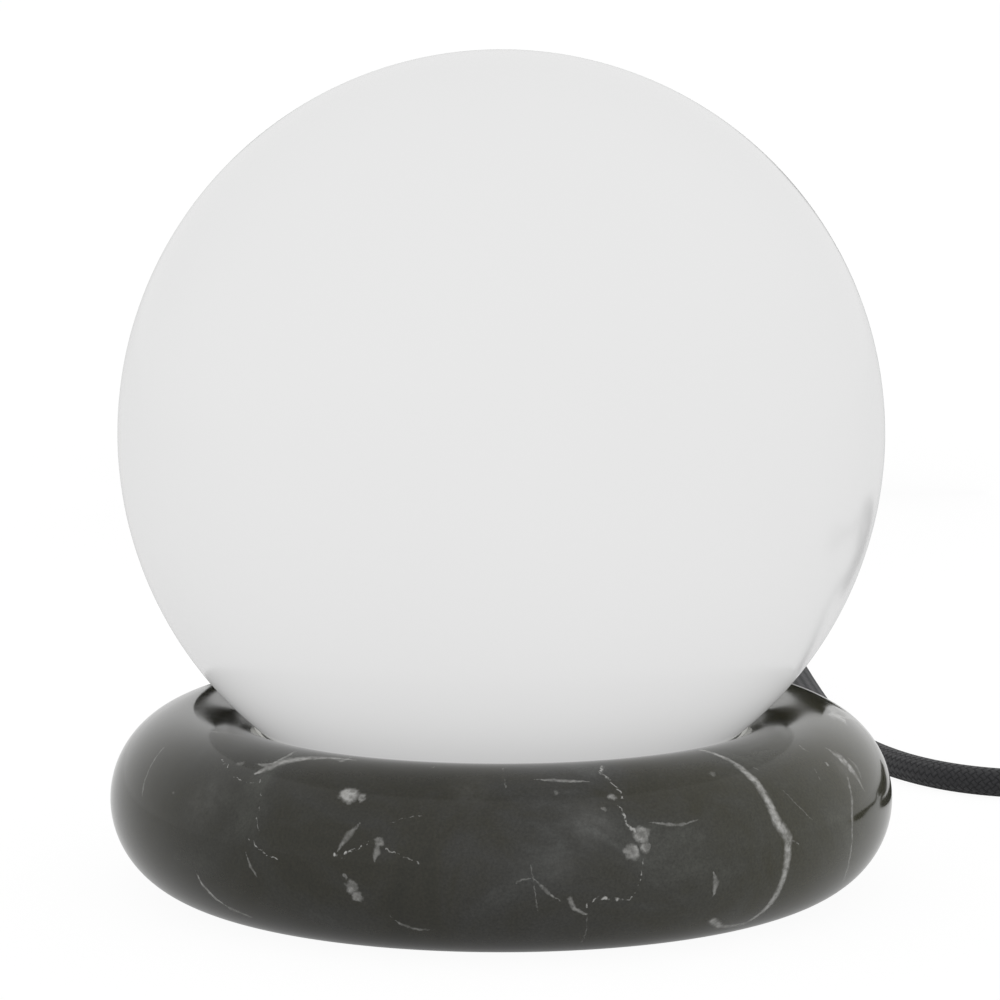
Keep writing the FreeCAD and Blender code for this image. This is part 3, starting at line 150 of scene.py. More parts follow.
def surface(name, dark, light, grain, rough, metallic=0.0, relief=0.0, stretch=(1, 1, 1)):
    """Material of one real surface. Colour, roughness and relief vary at one grain size."""
    made, tree, shader, place = new_material(name)
    scaled = add(tree, "ShaderNodeMapping",
                 {"Vector": place, "Scale": tuple(share / grain for share in stretch)})
    fine = add(tree, "ShaderNodeTexNoise",
               {"Vector": scaled, "Scale": 1.0, "Detail": 3.0, "Roughness": 0.6})
    broad = add(tree, "ShaderNodeTexNoise", {"Vector": place, "Scale": 1 / BROAD_PATCH, "Detail": 2.0})
    blend = add(tree, "ShaderNodeMath", {0: fine, 1: broad}, operation="ADD")
    share = add(tree, "ShaderNodeMapRange", {"Value": blend, "From Min": 0.75, "From Max": 1.25})
    colour = add(tree, "ShaderNodeMix", {FACTOR: share, FIRST: linear(dark), SECOND: linear(light)},
                 data_type="RGBA")
    tree.links.new(colour.outputs[MIXED], shader.inputs["Base Color"])
    gloss = add(tree, "ShaderNodeMapRange", {"Value": blend, "From Min": 0.75, "From Max": 1.25,
                                             "To Min": rough[0], "To Max": rough[1]})
    tree.links.new(gloss.outputs[0], shader.inputs["Roughness"])
    if relief:
        bump = add(tree, "ShaderNodeBump", {"Strength": 1.0, "Distance": relief, "Height": fine})
        tree.links.new(bump.outputs[0], shader.inputs["Normal"])
    shader.inputs["Metallic"].default_value = metallic
    return made


# ---- Cords ----
RELIEF_END = 118 * MM
CORD_HEIGHT = 12 * MM           # in the stone's bore
SWITCH_ENTRY = Vector((185.4, 164, 8)) * MM
SWITCH_EXIT = Vector((185.4, 226, 8)) * MM
PLUG_ENTRY = Vector((270.4, 150, 7.2)) * MM
STRAIGHT = 16 * MM              # the cord's straight run at the switch's entry and at the plug

lead_route = [
    Vector((0, RELIEF_END, CORD_HEIGHT)),
    Vector((0, RELIEF_END + 19 * MM, CORD_HEIGHT)),
    Vector((1 * MM, RELIEF_END + 51 * MM, CORD_FLOOR)),
    Vector((-4 * MM, 228 * MM, CORD_FLOOR)),
    Vector((-2 * MM, 279 * MM, CORD_FLOOR)),
    Vector((40 * MM, 301 * MM, CORD_FLOOR)),
    Vector((80.5 * MM, 278 * MM, CORD_FLOOR)),
    Vector((84.6 * MM, 210 * MM, CORD_FLOOR)),
    Vector((90.2 * MM, 144 * MM, CORD_FLOOR)),
    Vector((111.3 * MM, 101.5 * MM, CORD_FLOOR)),
    Vector((143.8 * MM, 91.3 * MM, CORD_FLOOR)),
    Vector((169.5 * MM, 99.6 * MM, CORD_FLOOR)),
    Vector((185.4 * MM, 121.4 * MM, CORD_FLOOR)),
    SWITCH_ENTRY - Vector((0, STRAIGHT, 0)),
    SWITCH_ENTRY,
]

# The put-away coil: inwards on the table, up, and outwards again on top
COIL_CENTRE = Vector((234.9, 268, 0)) * MM
COIL_OUTER = 49.5 * MM          # radius of the cord's middle line
COIL_PITCH = 7.8 * MM
COIL_LOW = 5.0 * MM
COIL_STEP = 7.8 * MM
LAYER_TURNS = 1.75
FIRST_ANGLE = math.pi
POINTS_PER_TURN = 16
INSIDE_CORNERS = 0.981          # the smooth line's radius as a share of its points' radius
END_RUN = 7.2 * MM              # from both ends of the coil straight on
CLIMB_SHARE = 0.5               # of a turn, in which the coil climbs to its upper layer
SWITCH_RUN = 11 * MM
COIL_RUN_IN = 12 * MM
COIL_RUN_OUT = 16.8 * MM


def coil_point(turns):
    """Control point of the coil after a number of turns."""
    inner = COIL_OUTER - COIL_PITCH * LAYER_TURNS
    if turns <= LAYER_TURNS:
        radius = COIL_OUTER - COIL_PITCH * turns
    else:
        radius = inner + COIL_PITCH * (turns - LAYER_TURNS)
    radius /= INSIDE_CORNERS
    climbed = min(max((turns - LAYER_TURNS) / CLIMB_SHARE + 0.5, 0.0), 1.0)
    angle = FIRST_ANGLE - 2 * math.pi * turns
    height = COIL_LOW + COIL_STEP * climbed
    return COIL_CENTRE + Vector((radius * math.cos(angle), radius * math.sin(angle), height))


coil_turns = 2 * LAYER_TURNS
coil_entry = COIL_CENTRE + Vector((-COIL_OUTER, -END_RUN, COIL_LOW))
coil_exit = COIL_CENTRE + Vector((COIL_OUTER, -END_RUN, COIL_LOW + COIL_STEP))
coil_steps = int(coil_turns * POINTS_PER_TURN)
coil_route = [coil_point(step / POINTS_PER_TURN) for step in range(coil_steps + 1)]
far_route = [
    SWITCH_EXIT,
    SWITCH_EXIT + Vector((0, SWITCH_RUN, 0)),
    coil_entry - Vector((0, COIL_RUN_IN, 0)),
    coil_entry,
    *coil_route,
    coil_exit,
    coil_exit - Vector((0, COIL_RUN_OUT, 0)),
    Vector((282.4 * MM, 218 * MM, CORD_FLOOR)),
    Vector((276.9 * MM, 192 * MM, CORD_FLOOR)),
    PLUG_ENTRY + Vector((0, STRAIGHT, 0)),
    PLUG_ENTRY,
]


def smooth_line(name, route, steps):
    """Points along the NURBS spline of a route, with so many steps between its control points."""
    data = bpy.data.curves.new(name, "CURVE")
    data.dimensions = "3D"
    data.resolution_u = steps
    spline = data.splines.new("NURBS")
    spline.points.add(len(route) - 1)
    for point, place in zip(spline.points, route):
        point.co = (*place, 1)
    spline.order_u = 3
    spline.use_endpoint_u = True
    holder = new_object(name, data)
    mesh = bpy.data.meshes.new_from_object(holder)
    points = [vertex.co.copy() for vertex in mesh.vertices]
    bpy.data.objects.remove(holder)
    bpy.data.curves.remove(data)
    bpy.data.meshes.remove(mesh)
    return points


CORD_SIDES = 28


def make_cord(name, points):
    """Round tube along a line. Its UV map runs once round, and along in metres."""
    mesh = bpy.data.meshes.new(name)
    build = bmesh.new()
    sheet = build.loops.layers.uv.new("cord")
    tangents = []
    for index in range(len(points)):
        ahead = points[min(index + 1, len(points) - 1)]
        behind = points[max(index - 1, 0)]
        tangents.append((ahead - behind).normalized())
    side = tangents[0].cross(Vector((0, 0, 1))).normalized()
    rings = []
    travelled = [0.0]
    for index, (point, tangent) in enumerate(zip(points, tangents)):
        side = (side - tangent * side.dot(tangent)).normalized()
        upward = tangent.cross(side)
        ring = []
        for step in range(CORD_SIDES):
            angle = 2 * math.pi * step / CORD_SIDES
            reach = side * math.cos(angle) + upward * math.sin(angle)
            ring.append(build.verts.new(point + reach * CORD_DIAMETER / 2))
        rings.append(ring)
        if index:
            travelled.append(travelled[-1] + (point - points[index - 1]).length)
    for index in range(len(rings) - 1):
        for step in range(CORD_SIDES):
            after = (step + 1) % CORD_SIDES
            here, ahead = rings[index], rings[index + 1]
            face = build.faces.new((here[step], here[after], ahead[after], ahead[step]))
            face.smooth = True
            places = (
                (step, travelled[index]),
                (step + 1, travelled[index]),
                (step + 1, travelled[index + 1]),
                (step, travelled[index + 1]),
            )
            for loop, (around, along) in zip(face.loops, places):
                loop[sheet].uv = (around / CORD_SIDES, along)
    build.faces.new(rings[0])
    build.faces.new(rings[-1])
    bmesh.ops.recalc_face_normals(build, faces=build.faces)
    build.to_mesh(mesh)
    build.free()
    return new_object(name, mesh)


STRANDS = 12                    # in each direction of the braid
BRAID_LAY = 24 * MM             # length of one full turn of a strand
YARN_SIZE = MM / 3              # drawn coarser than a real fibre, so that it shows
STRAND_RISE = 0.25 * MM


def braided_textile():
    """Polyester braid over rubber: flat strands that cross over and under, matt, with fine fibres."""
    made, tree, shader, place = new_material("braided_polyester")
    sheet = add(tree, "ShaderNodeUVMap", uv_map="cord")
    split = add(tree, "ShaderNodeSeparateXYZ", {0: sheet})
    around = add(tree, "ShaderNodeMath", {0: split.outputs["X"], 1: STRANDS}, operation="MULTIPLY")
    along = add(tree, "ShaderNodeMath", {0: split.outputs["Y"], 1: STRANDS / BRAID_LAY},
                operation="MULTIPLY")
    profiles = []
    cells = []
    for direction in ("ADD", "SUBTRACT"):
        strand = add(tree, "ShaderNodeMath", {0: around, 1: along}, operation=direction)
        across = add(tree, "ShaderNodeMath", {0: strand}, operation="FRACT")
        angle = add(tree, "ShaderNodeMath", {0: across, 1: math.pi}, operation="MULTIPLY")
        profiles.append(add(tree, "ShaderNodeMath", {0: angle}, operation="SINE"))
        cells.append(add(tree, "ShaderNodeMath", {0: strand}, operation="FLOOR"))
    total = add(tree, "ShaderNodeMath", {0: cells[0], 1: cells[1]}, operation="ADD")
    parity = add(tree, "ShaderNodeMath", {0: total, 1: 2.0}, operation="FLOORED_MODULO")
    on_top = add(tree, "ShaderNodeMath", {0: parity, 1: 0.5}, operation="GREATER_THAN")
    height = add(tree, "ShaderNodeMix",
                 {"Factor": on_top, "A": profiles[0].outputs[0], "B": profiles[1].outputs[0]},
                 data_type="FLOAT")
    yarn = add(tree, "ShaderNodeTexNoise", {"Vector": place, "Scale": 1 / YARN_SIZE, "Detail": 2.0})
    fibre = add(tree, "ShaderNodeMath", {0: yarn, 1: 0.35, 2: height}, operation="MULTIPLY_ADD")
    # Painted shade: the colour darkens where a strand falls away towards its edges, with the yarn's own
    # fine variation over it
    yarn_and_painted_shade = add(tree, "ShaderNodeMapRange", {"Value": fibre, "From Min": 0.25, "From Max": 1.25})
    colour = add(tree, "ShaderNodeMix",
                 {FACTOR: yarn_and_painted_shade, FIRST: linear("1b1b1d"), SECOND: linear("3b3b3d")}, data_type="RGBA")
    tree.links.new(colour.outputs[MIXED], shader.inputs["Base Color"])
    bump = add(tree, "ShaderNodeBump", {"Strength": 0.8, "Distance": STRAND_RISE, "Height": fibre})
    tree.links.new(bump.outputs[0], shader.inputs["Normal"])
    shader.inputs["Roughness"].default_value = 0.85
    shader.inputs["Specular IOR Level"].default_value = 0.25
    shader.inputs["Sheen Weight"].default_value = 0.15
    return made


BRAID = braided_textile()
LEAD_STEPS = 24
FAR_STEPS = 8

lead_line = smooth_line("lead_line", lead_route, LEAD_STEPS)
lead_cord = make_cord("braided_lead", lead_line)
lead_cord.data.materials.append(BRAID)
far_line = smooth_line("far_line", far_route, FAR_STEPS)
far_cord = make_cord("braided_far_lead", far_line)
far_cord.data.materials.append(BRAID)


# ---- Marble ring ----
def size_tree(name, sizes):
    """Geometry Nodes tree with one named input for each size."""
    tree = bpy.data.node_groups.new(name, "GeometryNodeTree")
    tree.interface.new_socket("Geometry", in_out="OUTPUT", socket_type="NodeSocketGeometry")
    sockets = {}
    for label, value in sizes.items():
        kind = "NodeSocketInt" if isinstance(value, int) else "NodeSocketFloat"
        sockets[label] = tree.interface.new_socket(label, in_out="INPUT", socket_type=kind).identifier
    return tree, sockets, tree.nodes.new("NodeGroupInput").outputs


def finish_tree(tree, geometry, material):
    """End a tree in plain geometry with its material."""
    plain = add(tree, "GeometryNodeRealizeInstances", {0: geometry})
    dressed = add(tree, "GeometryNodeSetMaterial", {"Geometry": plain, "Material": material})
    output = tree.nodes.new("NodeGroupOutput")
    tree.links.new(dressed.outputs[0], output.inputs[0])


def apply_modifiers(made):
    """Give an object the mesh that its modifiers make."""
    graph = bpy.context.evaluated_depsgraph_get()
    mesh = bpy.data.meshes.new_from_object(made.evaluated_get(graph))
    made.modifiers.clear()
    made.data = mesh


def grow(name, tree, sockets, sizes):
    """Plain mesh object that a tree makes with the given sizes."""
    made = new_object(name, bpy.data.meshes.new(name))
    modifier = made.modifiers.new("shape", "NODES")
    modifier.node_group = tree
    for label, value in sizes.items():
        modifier[sockets[label]] = value
    apply_modifiers(made)
    return made


RING_SIZES = {
    "Ring radius": RING_RADIUS,
    "Section radius": SECTION_RADIUS,
    "Middle height": RING_MIDDLE,
    "Foot height": RING_FOOT,
    "Rebate radius": REBATE_RADIUS,
    "Rebate top": REBATE_TOP,
    "Bore radius": BORE_RADIUS,
    "Bore height": BORE_HEIGHT,
    "Steps round the ring": 360,
    "Steps round the section": 144,
}
SHARP_EDGE = math.radians(25)
# The cutters reach well past what they cut
SLAB_SIDE = 400 * MM
SLAB_DEPTH = 50 * MM
REBATE_DEPTH = 20 * MM
REBATE_SIDES = 256
BORE_LENGTH = 120 * MM
BORE_SIDES = 64


def marble_ring(material):
    """Round section swept round the lamp, sawn flat below, with a rebate for the plate and a bore for
    the cord."""
    tree, sockets, size = size_tree("marble_ring", RING_SIZES)
    path = add(tree, "GeometryNodeCurvePrimitiveCircle",
               {"Resolution": size["Steps round the ring"], "Radius": size["Ring radius"]})
    section = add(tree, "GeometryNodeCurvePrimitiveCircle",
                  {"Resolution": size["Steps round the section"], "Radius": size["Section radius"]})
    swept = add(tree, "GeometryNodeCurveToMesh", {"Curve": path, "Profile Curve": section})
    lift = add(tree, "ShaderNodeCombineXYZ", {"Z": size["Middle height"]})
    ring = add(tree, "GeometryNodeTransform", {"Geometry": swept, "Translation": lift})
    slab_drop = add(tree, "ShaderNodeMath", {0: size["Foot height"], 1: SLAB_DEPTH / 2},
                    operation="SUBTRACT")
    slab_place = add(tree, "ShaderNodeCombineXYZ", {"Z": slab_drop})
    slab = add(tree, "GeometryNodeMeshCube", {"Size": (SLAB_SIDE, SLAB_SIDE, SLAB_DEPTH)})
    slab_down = add(tree, "GeometryNodeTransform",
                    {"Geometry": slab.outputs["Mesh"], "Translation": slab_place})
    rebate_rise = add(tree, "ShaderNodeMath", {0: size["Rebate top"], 1: REBATE_DEPTH / 2},
                      operation="SUBTRACT")
    rebate_place = add(tree, "ShaderNodeCombineXYZ", {"Z": rebate_rise})
    rebate = add(tree, "GeometryNodeMeshCylinder",
                 {"Vertices": REBATE_SIDES, "Radius": size["Rebate radius"], "Depth": REBATE_DEPTH})
    rebate_up = add(tree, "GeometryNodeTransform",
                    {"Geometry": rebate.outputs["Mesh"], "Translation": rebate_place})
    bore_place = add(tree, "ShaderNodeCombineXYZ", {"Y": BORE_LENGTH / 2, "Z": size["Bore height"]})
    bore = add(tree, "GeometryNodeMeshCylinder",
               {"Vertices": BORE_SIDES, "Radius": size["Bore radius"], "Depth": BORE_LENGTH})
    bore_in = add(tree, "GeometryNodeTransform",
                  {"Geometry": bore.outputs["Mesh"], "Translation": bore_place,
                   "Rotation": (math.pi / 2, 0, 0)})
    cut = ring
    for cutter in (slab_down, rebate_up, bore_in):
        cut = add(tree, "GeometryNodeMeshBoolean", {"Mesh 1": cut, "Mesh 2": cutter},
                  operation="DIFFERENCE", solver="EXACT")
    edge = add(tree, "GeometryNodeInputMeshEdgeAngle")
    blunt = add(tree, "FunctionNodeCompare", {"A": edge.outputs["Unsigned Angle"], "B": SHARP_EDGE},
                data_type="FLOAT", operation="LESS_THAN")
    faces = add(tree, "GeometryNodeSetShadeSmooth", {"Geometry": cut, "Shade Smooth": True})
    smooth = add(tree, "GeometryNodeSetShadeSmooth", {"Geometry": faces, "Shade Smooth": blunt},
                 domain="EDGE")
    finish_tree(tree, smooth.outputs[0], material)
    return grow("polished_marble_ring", tree, sockets, RING_SIZES)


# Veins of the front: kind, strength, width at both ends, and the points that they pass, in pixels.
# Each kind is drawn through its own wobble: a vein bends softly, a streak does too and fades to a point
# at both ends, and a crack is jagged and broken up.
VEINS = {
    "broad_arc_top": ("vein", 1.0, 3, 5, [(700, 750), (716, 754), (738, 766)]),
    "broad_arc_middle": ("vein", 1.0, 6, 8,
                         [(738, 766), (756, 782), (768, 801), (777, 822), (788, 838)]),
    "broad_arc_low": ("vein", 0.9, 7, 5, [(788, 838), (788, 854), (784, 876), (775, 897), (761, 913)]),
    "broad_arc_foot": ("vein", 0.7, 4, 6, [(761, 913), (744, 924), (721, 927), (712, 921)]),
    "broad_arc_branch": ("vein", 0.6, 2, 1, [(788, 838), (799, 844)]),
    "right_upright": ("vein", 0.5, 3, 2, [(847, 776), (852, 812), (852, 833), (849, 860), (843, 881)]),
    "right_cloud": ("streak", 0.45, 8, 9, [(826, 748), (836, 755), (844, 762), (853, 772), (864, 790)]),
    "right_cloud_low": ("streak", 0.3, 5, 5, [(848, 758), (856, 766), (861, 778)]),
    "right_fleck": ("streak", 0.5, 3, 4, [(813, 767), (820, 780)]),
    "right_fleck_upper": ("streak", 0.35, 3, 4, [(798, 745), (804, 749), (811, 753)]),
    "fine_diagonal": ("vein", 0.3, 1, 1, [(751, 766), (775, 785), (796, 803), (812, 820)]),
    "upper_streak": ("streak", 0.55, 2, 5, [(535, 779), (552, 780), (568, 781), (588, 781)]),
    "middle_streak": ("streak", 0.4, 2, 3, [(646, 823), (668, 824), (684, 823), (702, 820)]),
    "soft_fleck": ("streak", 0.55, 5, 5, [(714, 873), (716, 884), (713, 897)]),
    "low_arc_left": ("streak", 0.45, 2, 2, [(511, 887), (520, 881), (531, 879)]),
    "low_arc_right": ("streak", 0.6, 2, 3, [(531, 879), (546, 889), (560, 901)]),
    "low_line": ("vein", 0.3, 1, 1, [(530, 865), (533, 884), (539, 911)]),
    "low_hook": ("vein", 0.6, 4, 2, [(570, 899), (575, 909), (586, 915)]),
    "low_hook_tail": ("vein", 0.3, 1, 1, [(587, 918), (587, 932), (580, 943)]),
    "left_streak": ("streak", 0.75, 11, 5,
                    [(256, 774), (268, 768), (284, 761), (306, 758), (330, 758), (356, 760)]),
    "left_streak_top": ("streak", 0.5, 6, 4, [(256, 764), (268, 766), (280, 763), (292, 759)]),
    "left_streak_end": ("streak", 0.4, 3, 6, [(330, 758), (342, 761), (352, 757)]),
    "left_streak_twin": ("streak", 0.6, 3, 3, [(258, 765), (272, 764), (288, 756), (300, 750)]),
    "left_by_glass": ("vein", 0.35, 2, 2, [(210, 732), (222, 732), (242, 736)]),
    "left_arc": ("vein", 0.35, 2, 2, [(163, 748), (152, 764), (145, 779), (143, 795)]),
    "left_foot_arc": ("streak", 0.7, 2, 4, [(194, 868), (202, 884), (215, 898), (231, 909)]),
    "left_foot_arc_end": ("vein", 0.5, 4, 1, [(231, 909), (253, 918)]),
    "left_fleck": ("streak", 0.4, 2, 4, [(246, 852), (251, 866), (259, 879)]),
    "soft_rise": ("streak", 0.4, 4, 6, [(360, 823), (349, 836), (337, 851)]),
    "middle_drop": ("streak", 0.45, 5, 5, [(379, 841), (377, 850), (374, 862)]),
    "low_trail": ("streak", 0.45, 2, 3, [(391, 916), (403, 925), (421, 930), (437, 930)]),
    "upper_fleck": ("streak", 0.5, 4, 3, [(429, 769), (439, 765)]),
    "thin_upright": ("vein", 0.35, 1, 1, [(502, 768), (505, 788)]),
    "chain_top": ("crack", 0.8, 2, 1, [(602, 766), (601, 774), (611, 782), (618, 789), (622, 798)]),
    "chain_upper": ("crack", 0.7, 1, 2, [(622, 798), (614, 801), (622, 811), (626, 822), (633, 832)]),
    "chain_lower": ("crack", 0.6, 1, 1, [(642, 860), (640, 873), (638, 889), (630, 899), (617, 900)]),
    "chain_end": ("crack", 0.9, 2, 1, [(617, 900), (606, 897), (595, 899), (587, 904), (586, 915)]),
    "left_crack": ("crack", 0.6, 1, 1, [(249, 840), (261, 850), (269, 855), (278, 860)]),
    "left_upper_crack": ("crack", 0.6, 1, 1, [(222, 759), (234, 777), (245, 781), (252, 784)]),
    "left_thread": ("crack", 0.4, 1, 1, [(260, 780), (261, 799), (257, 820), (261, 844)]),
    "middle_crack": ("crack", 1.0, 2, 1, [(336, 855), (345, 856), (352, 852), (359, 848), (368, 841)]),
    "middle_crack_right": ("crack", 0.5, 1, 1, [(386, 849), (397, 855), (408, 858), (419, 864)]),
    "dotted_line": ("crack", 0.4, 1, 1, [(389, 824), (408, 817), (420, 816)]),
}
# Blots: middle and radius in pixels, and strength
BLOTS = {
    "chain_blot": (641, 835, 8, 0.8),
    "chain_blot_low": (632, 852, 7, 0.8),
    "chain_blot_side": (645, 847, 5, 0.6),
    "chain_blot_top": (613, 797, 4, 0.6),
    "left_blot": (349, 795, 9, 0.8),
    "left_blot_side": (361, 797, 5, 0.7),
    "left_low_blot": (351, 887, 7, 0.75),
    "left_low_blot_foot": (357, 896, 5, 0.6),
    "left_upper_blot": (345, 875, 3, 0.4),
    "middle_blot": (378, 841, 5, 0.7),
    "spot_left": (556, 792, 3, 0.4),
    "spot_middle": (604, 810, 3, 0.4),
    "spot_right": (713, 774, 4, 0.3),
    "far_left_spot": (240, 764, 4, 0.45),
    "left_dot": (172, 793, 2, 0.35),
    "right_fleck_top": (838, 755, 5, 0.7),
    "right_fleck_middle": (843, 761, 7, 0.9),
    "right_fleck_low": (851, 769, 6, 0.8),
    "right_fleck_side": (828, 765, 3, 0.6),
}
# Wide faint hazes: middle and radius in pixels, and strength
HAZES = {
    "middle_haze": (590, 822, 34, 0.09),
    "low_haze": (560, 868, 26, 0.05),
    "left_haze": (205, 800, 40, 0.06),
    "upper_left_haze": (470, 790, 30, 0.05),
    "right_haze": (845, 770, 26, 0.1),
}
PIXEL = 0.234 * MM              # one pixel's size at the lamp
SEARCH_STEPS = 300              # from the camera to the stone, each as long as the gap that is left
STREAK_TIP = 0.2                # a streak's width at its ends, as a share of its full width
CORE_SHARE = 0.2                # of a vein's width that has its full strength
BLOT_CORE = 0.5                 # a blot fades from here to its rim, as shares of its radius
BLOT_RIM = 1.25

# Sizes of the stone's patterns
CLOUD_SIZE = 35.71 * MM
GRIT_SIZE = 0.625 * MM
CRUMB_SIZE = 1.1111 * MM
FEATHER_SIZE = 2.381 * MM
BACK_VEIN_SPACING = 47.62 * MM
BACK_VEIN_PATCH = 26.316 * MM
BACK_CRACK_SPACING = 16.667 * MM
BACK_CRACK_PATCH = 14.286 * MM

# Where the stone's colour changes: from dark left to pale right, which is painted reflection of a bright
#  light on the right, to olive at either side, and to the veins of the back
PAINTED_REFLECTION_FROM = -70 * MM
PAINTED_REFLECTION_TO = 80 * MM
OLIVE_FROM = 20 * MM
OLIVE_TO = 80 * MM
BACK_FROM = -30 * MM


def on_stone(pixel):
    """The point of the stone's front that a pixel of the photograph shows."""
    focal = CAMERA_LENS / SENSOR_WIDTH * PHOTO_SIZE
    across = pixel[0] - PHOTO_SIZE / 2
    upward = PHOTO_SIZE / 2 - pixel[1]
    turn = camera.rotation_euler.to_matrix()
    direction = (turn @ Vector((across, upward, -focal))).normalized()
    travelled = (CAMERA_PLACE - GLOBE_CENTRE).length - 2 * GLOBE_RADIUS
    for _ in range(SEARCH_STEPS):
        point = CAMERA_PLACE + direction * travelled
        beside = math.hypot(point.x, point.y) - RING_RADIUS
        gap = math.hypot(beside, point.z - RING_MIDDLE) - SECTION_RADIUS
        travelled += gap
    return point


def vein_stretch():
    """Group that draws one straight stretch of a vein: 1 on its middle line, 0 outside its width."""
    tree = bpy.data.node_groups.new("vein_stretch", "ShaderNodeTree")
    for label in ("Position", "Start", "Along", "Share"):
        tree.interface.new_socket(label, in_out="INPUT", socket_type="NodeSocketVector")
    for label in ("Width at start", "Width at end", "Strength"):
        tree.interface.new_socket(label, in_out="INPUT", socket_type="NodeSocketFloat")
    tree.interface.new_socket("Mask", in_out="OUTPUT", socket_type="NodeSocketFloat")
    given = tree.nodes.new("NodeGroupInput").outputs
    offset = add(tree, "ShaderNodeVectorMath", {0: given["Position"], 1: given["Start"]},
                 operation="SUBTRACT")
    share = add(tree, "ShaderNodeVectorMath", {0: offset, 1: given["Share"]}, operation="DOT_PRODUCT")
    held = add(tree, "ShaderNodeClamp", {"Value": share.outputs["Value"]})
    nearest = add(tree, "ShaderNodeVectorMath", {0: given["Along"], "Scale": held}, operation="SCALE")
    distance = add(tree, "ShaderNodeVectorMath", {0: offset, 1: nearest}, operation="DISTANCE")
    width = add(tree, "ShaderNodeMapRange",
                {"Value": held, "To Min": given["Width at start"], "To Max": given["Width at end"]})
    depth = add(tree, "ShaderNodeMath", {0: distance.outputs["Value"], 1: width}, operation="DIVIDE")
    mask = add(tree, "ShaderNodeMapRange",
               {"Value": depth, "From Min": CORE_SHARE, "To Min": given["Strength"], "To Max": 0.0},
               interpolation_type="SMOOTHSTEP")
    output = tree.nodes.new("NodeGroupOutput")
    tree.links.new(mask.outputs[0], output.inputs[0])
    return tree


def wobbled(tree, place, size, amount, detail):
    """Position shifted by noise of a given size, by up to half the amount."""
    noise = add(tree, "ShaderNodeTexNoise", {"Vector": place, "Scale": 1 / size, "Detail": detail})
    centred = add(tree, "ShaderNodeVectorMath", {0: noise.outputs["Color"], 1: (0.5, 0.5, 0.5)},
                  operation="SUBTRACT")
    scaled = add(tree, "ShaderNodeVectorMath", {0: centred, "Scale": amount}, operation="SCALE")
    return add(tree, "ShaderNodeVectorMath", {0: place, 1: scaled}, operation="ADD")


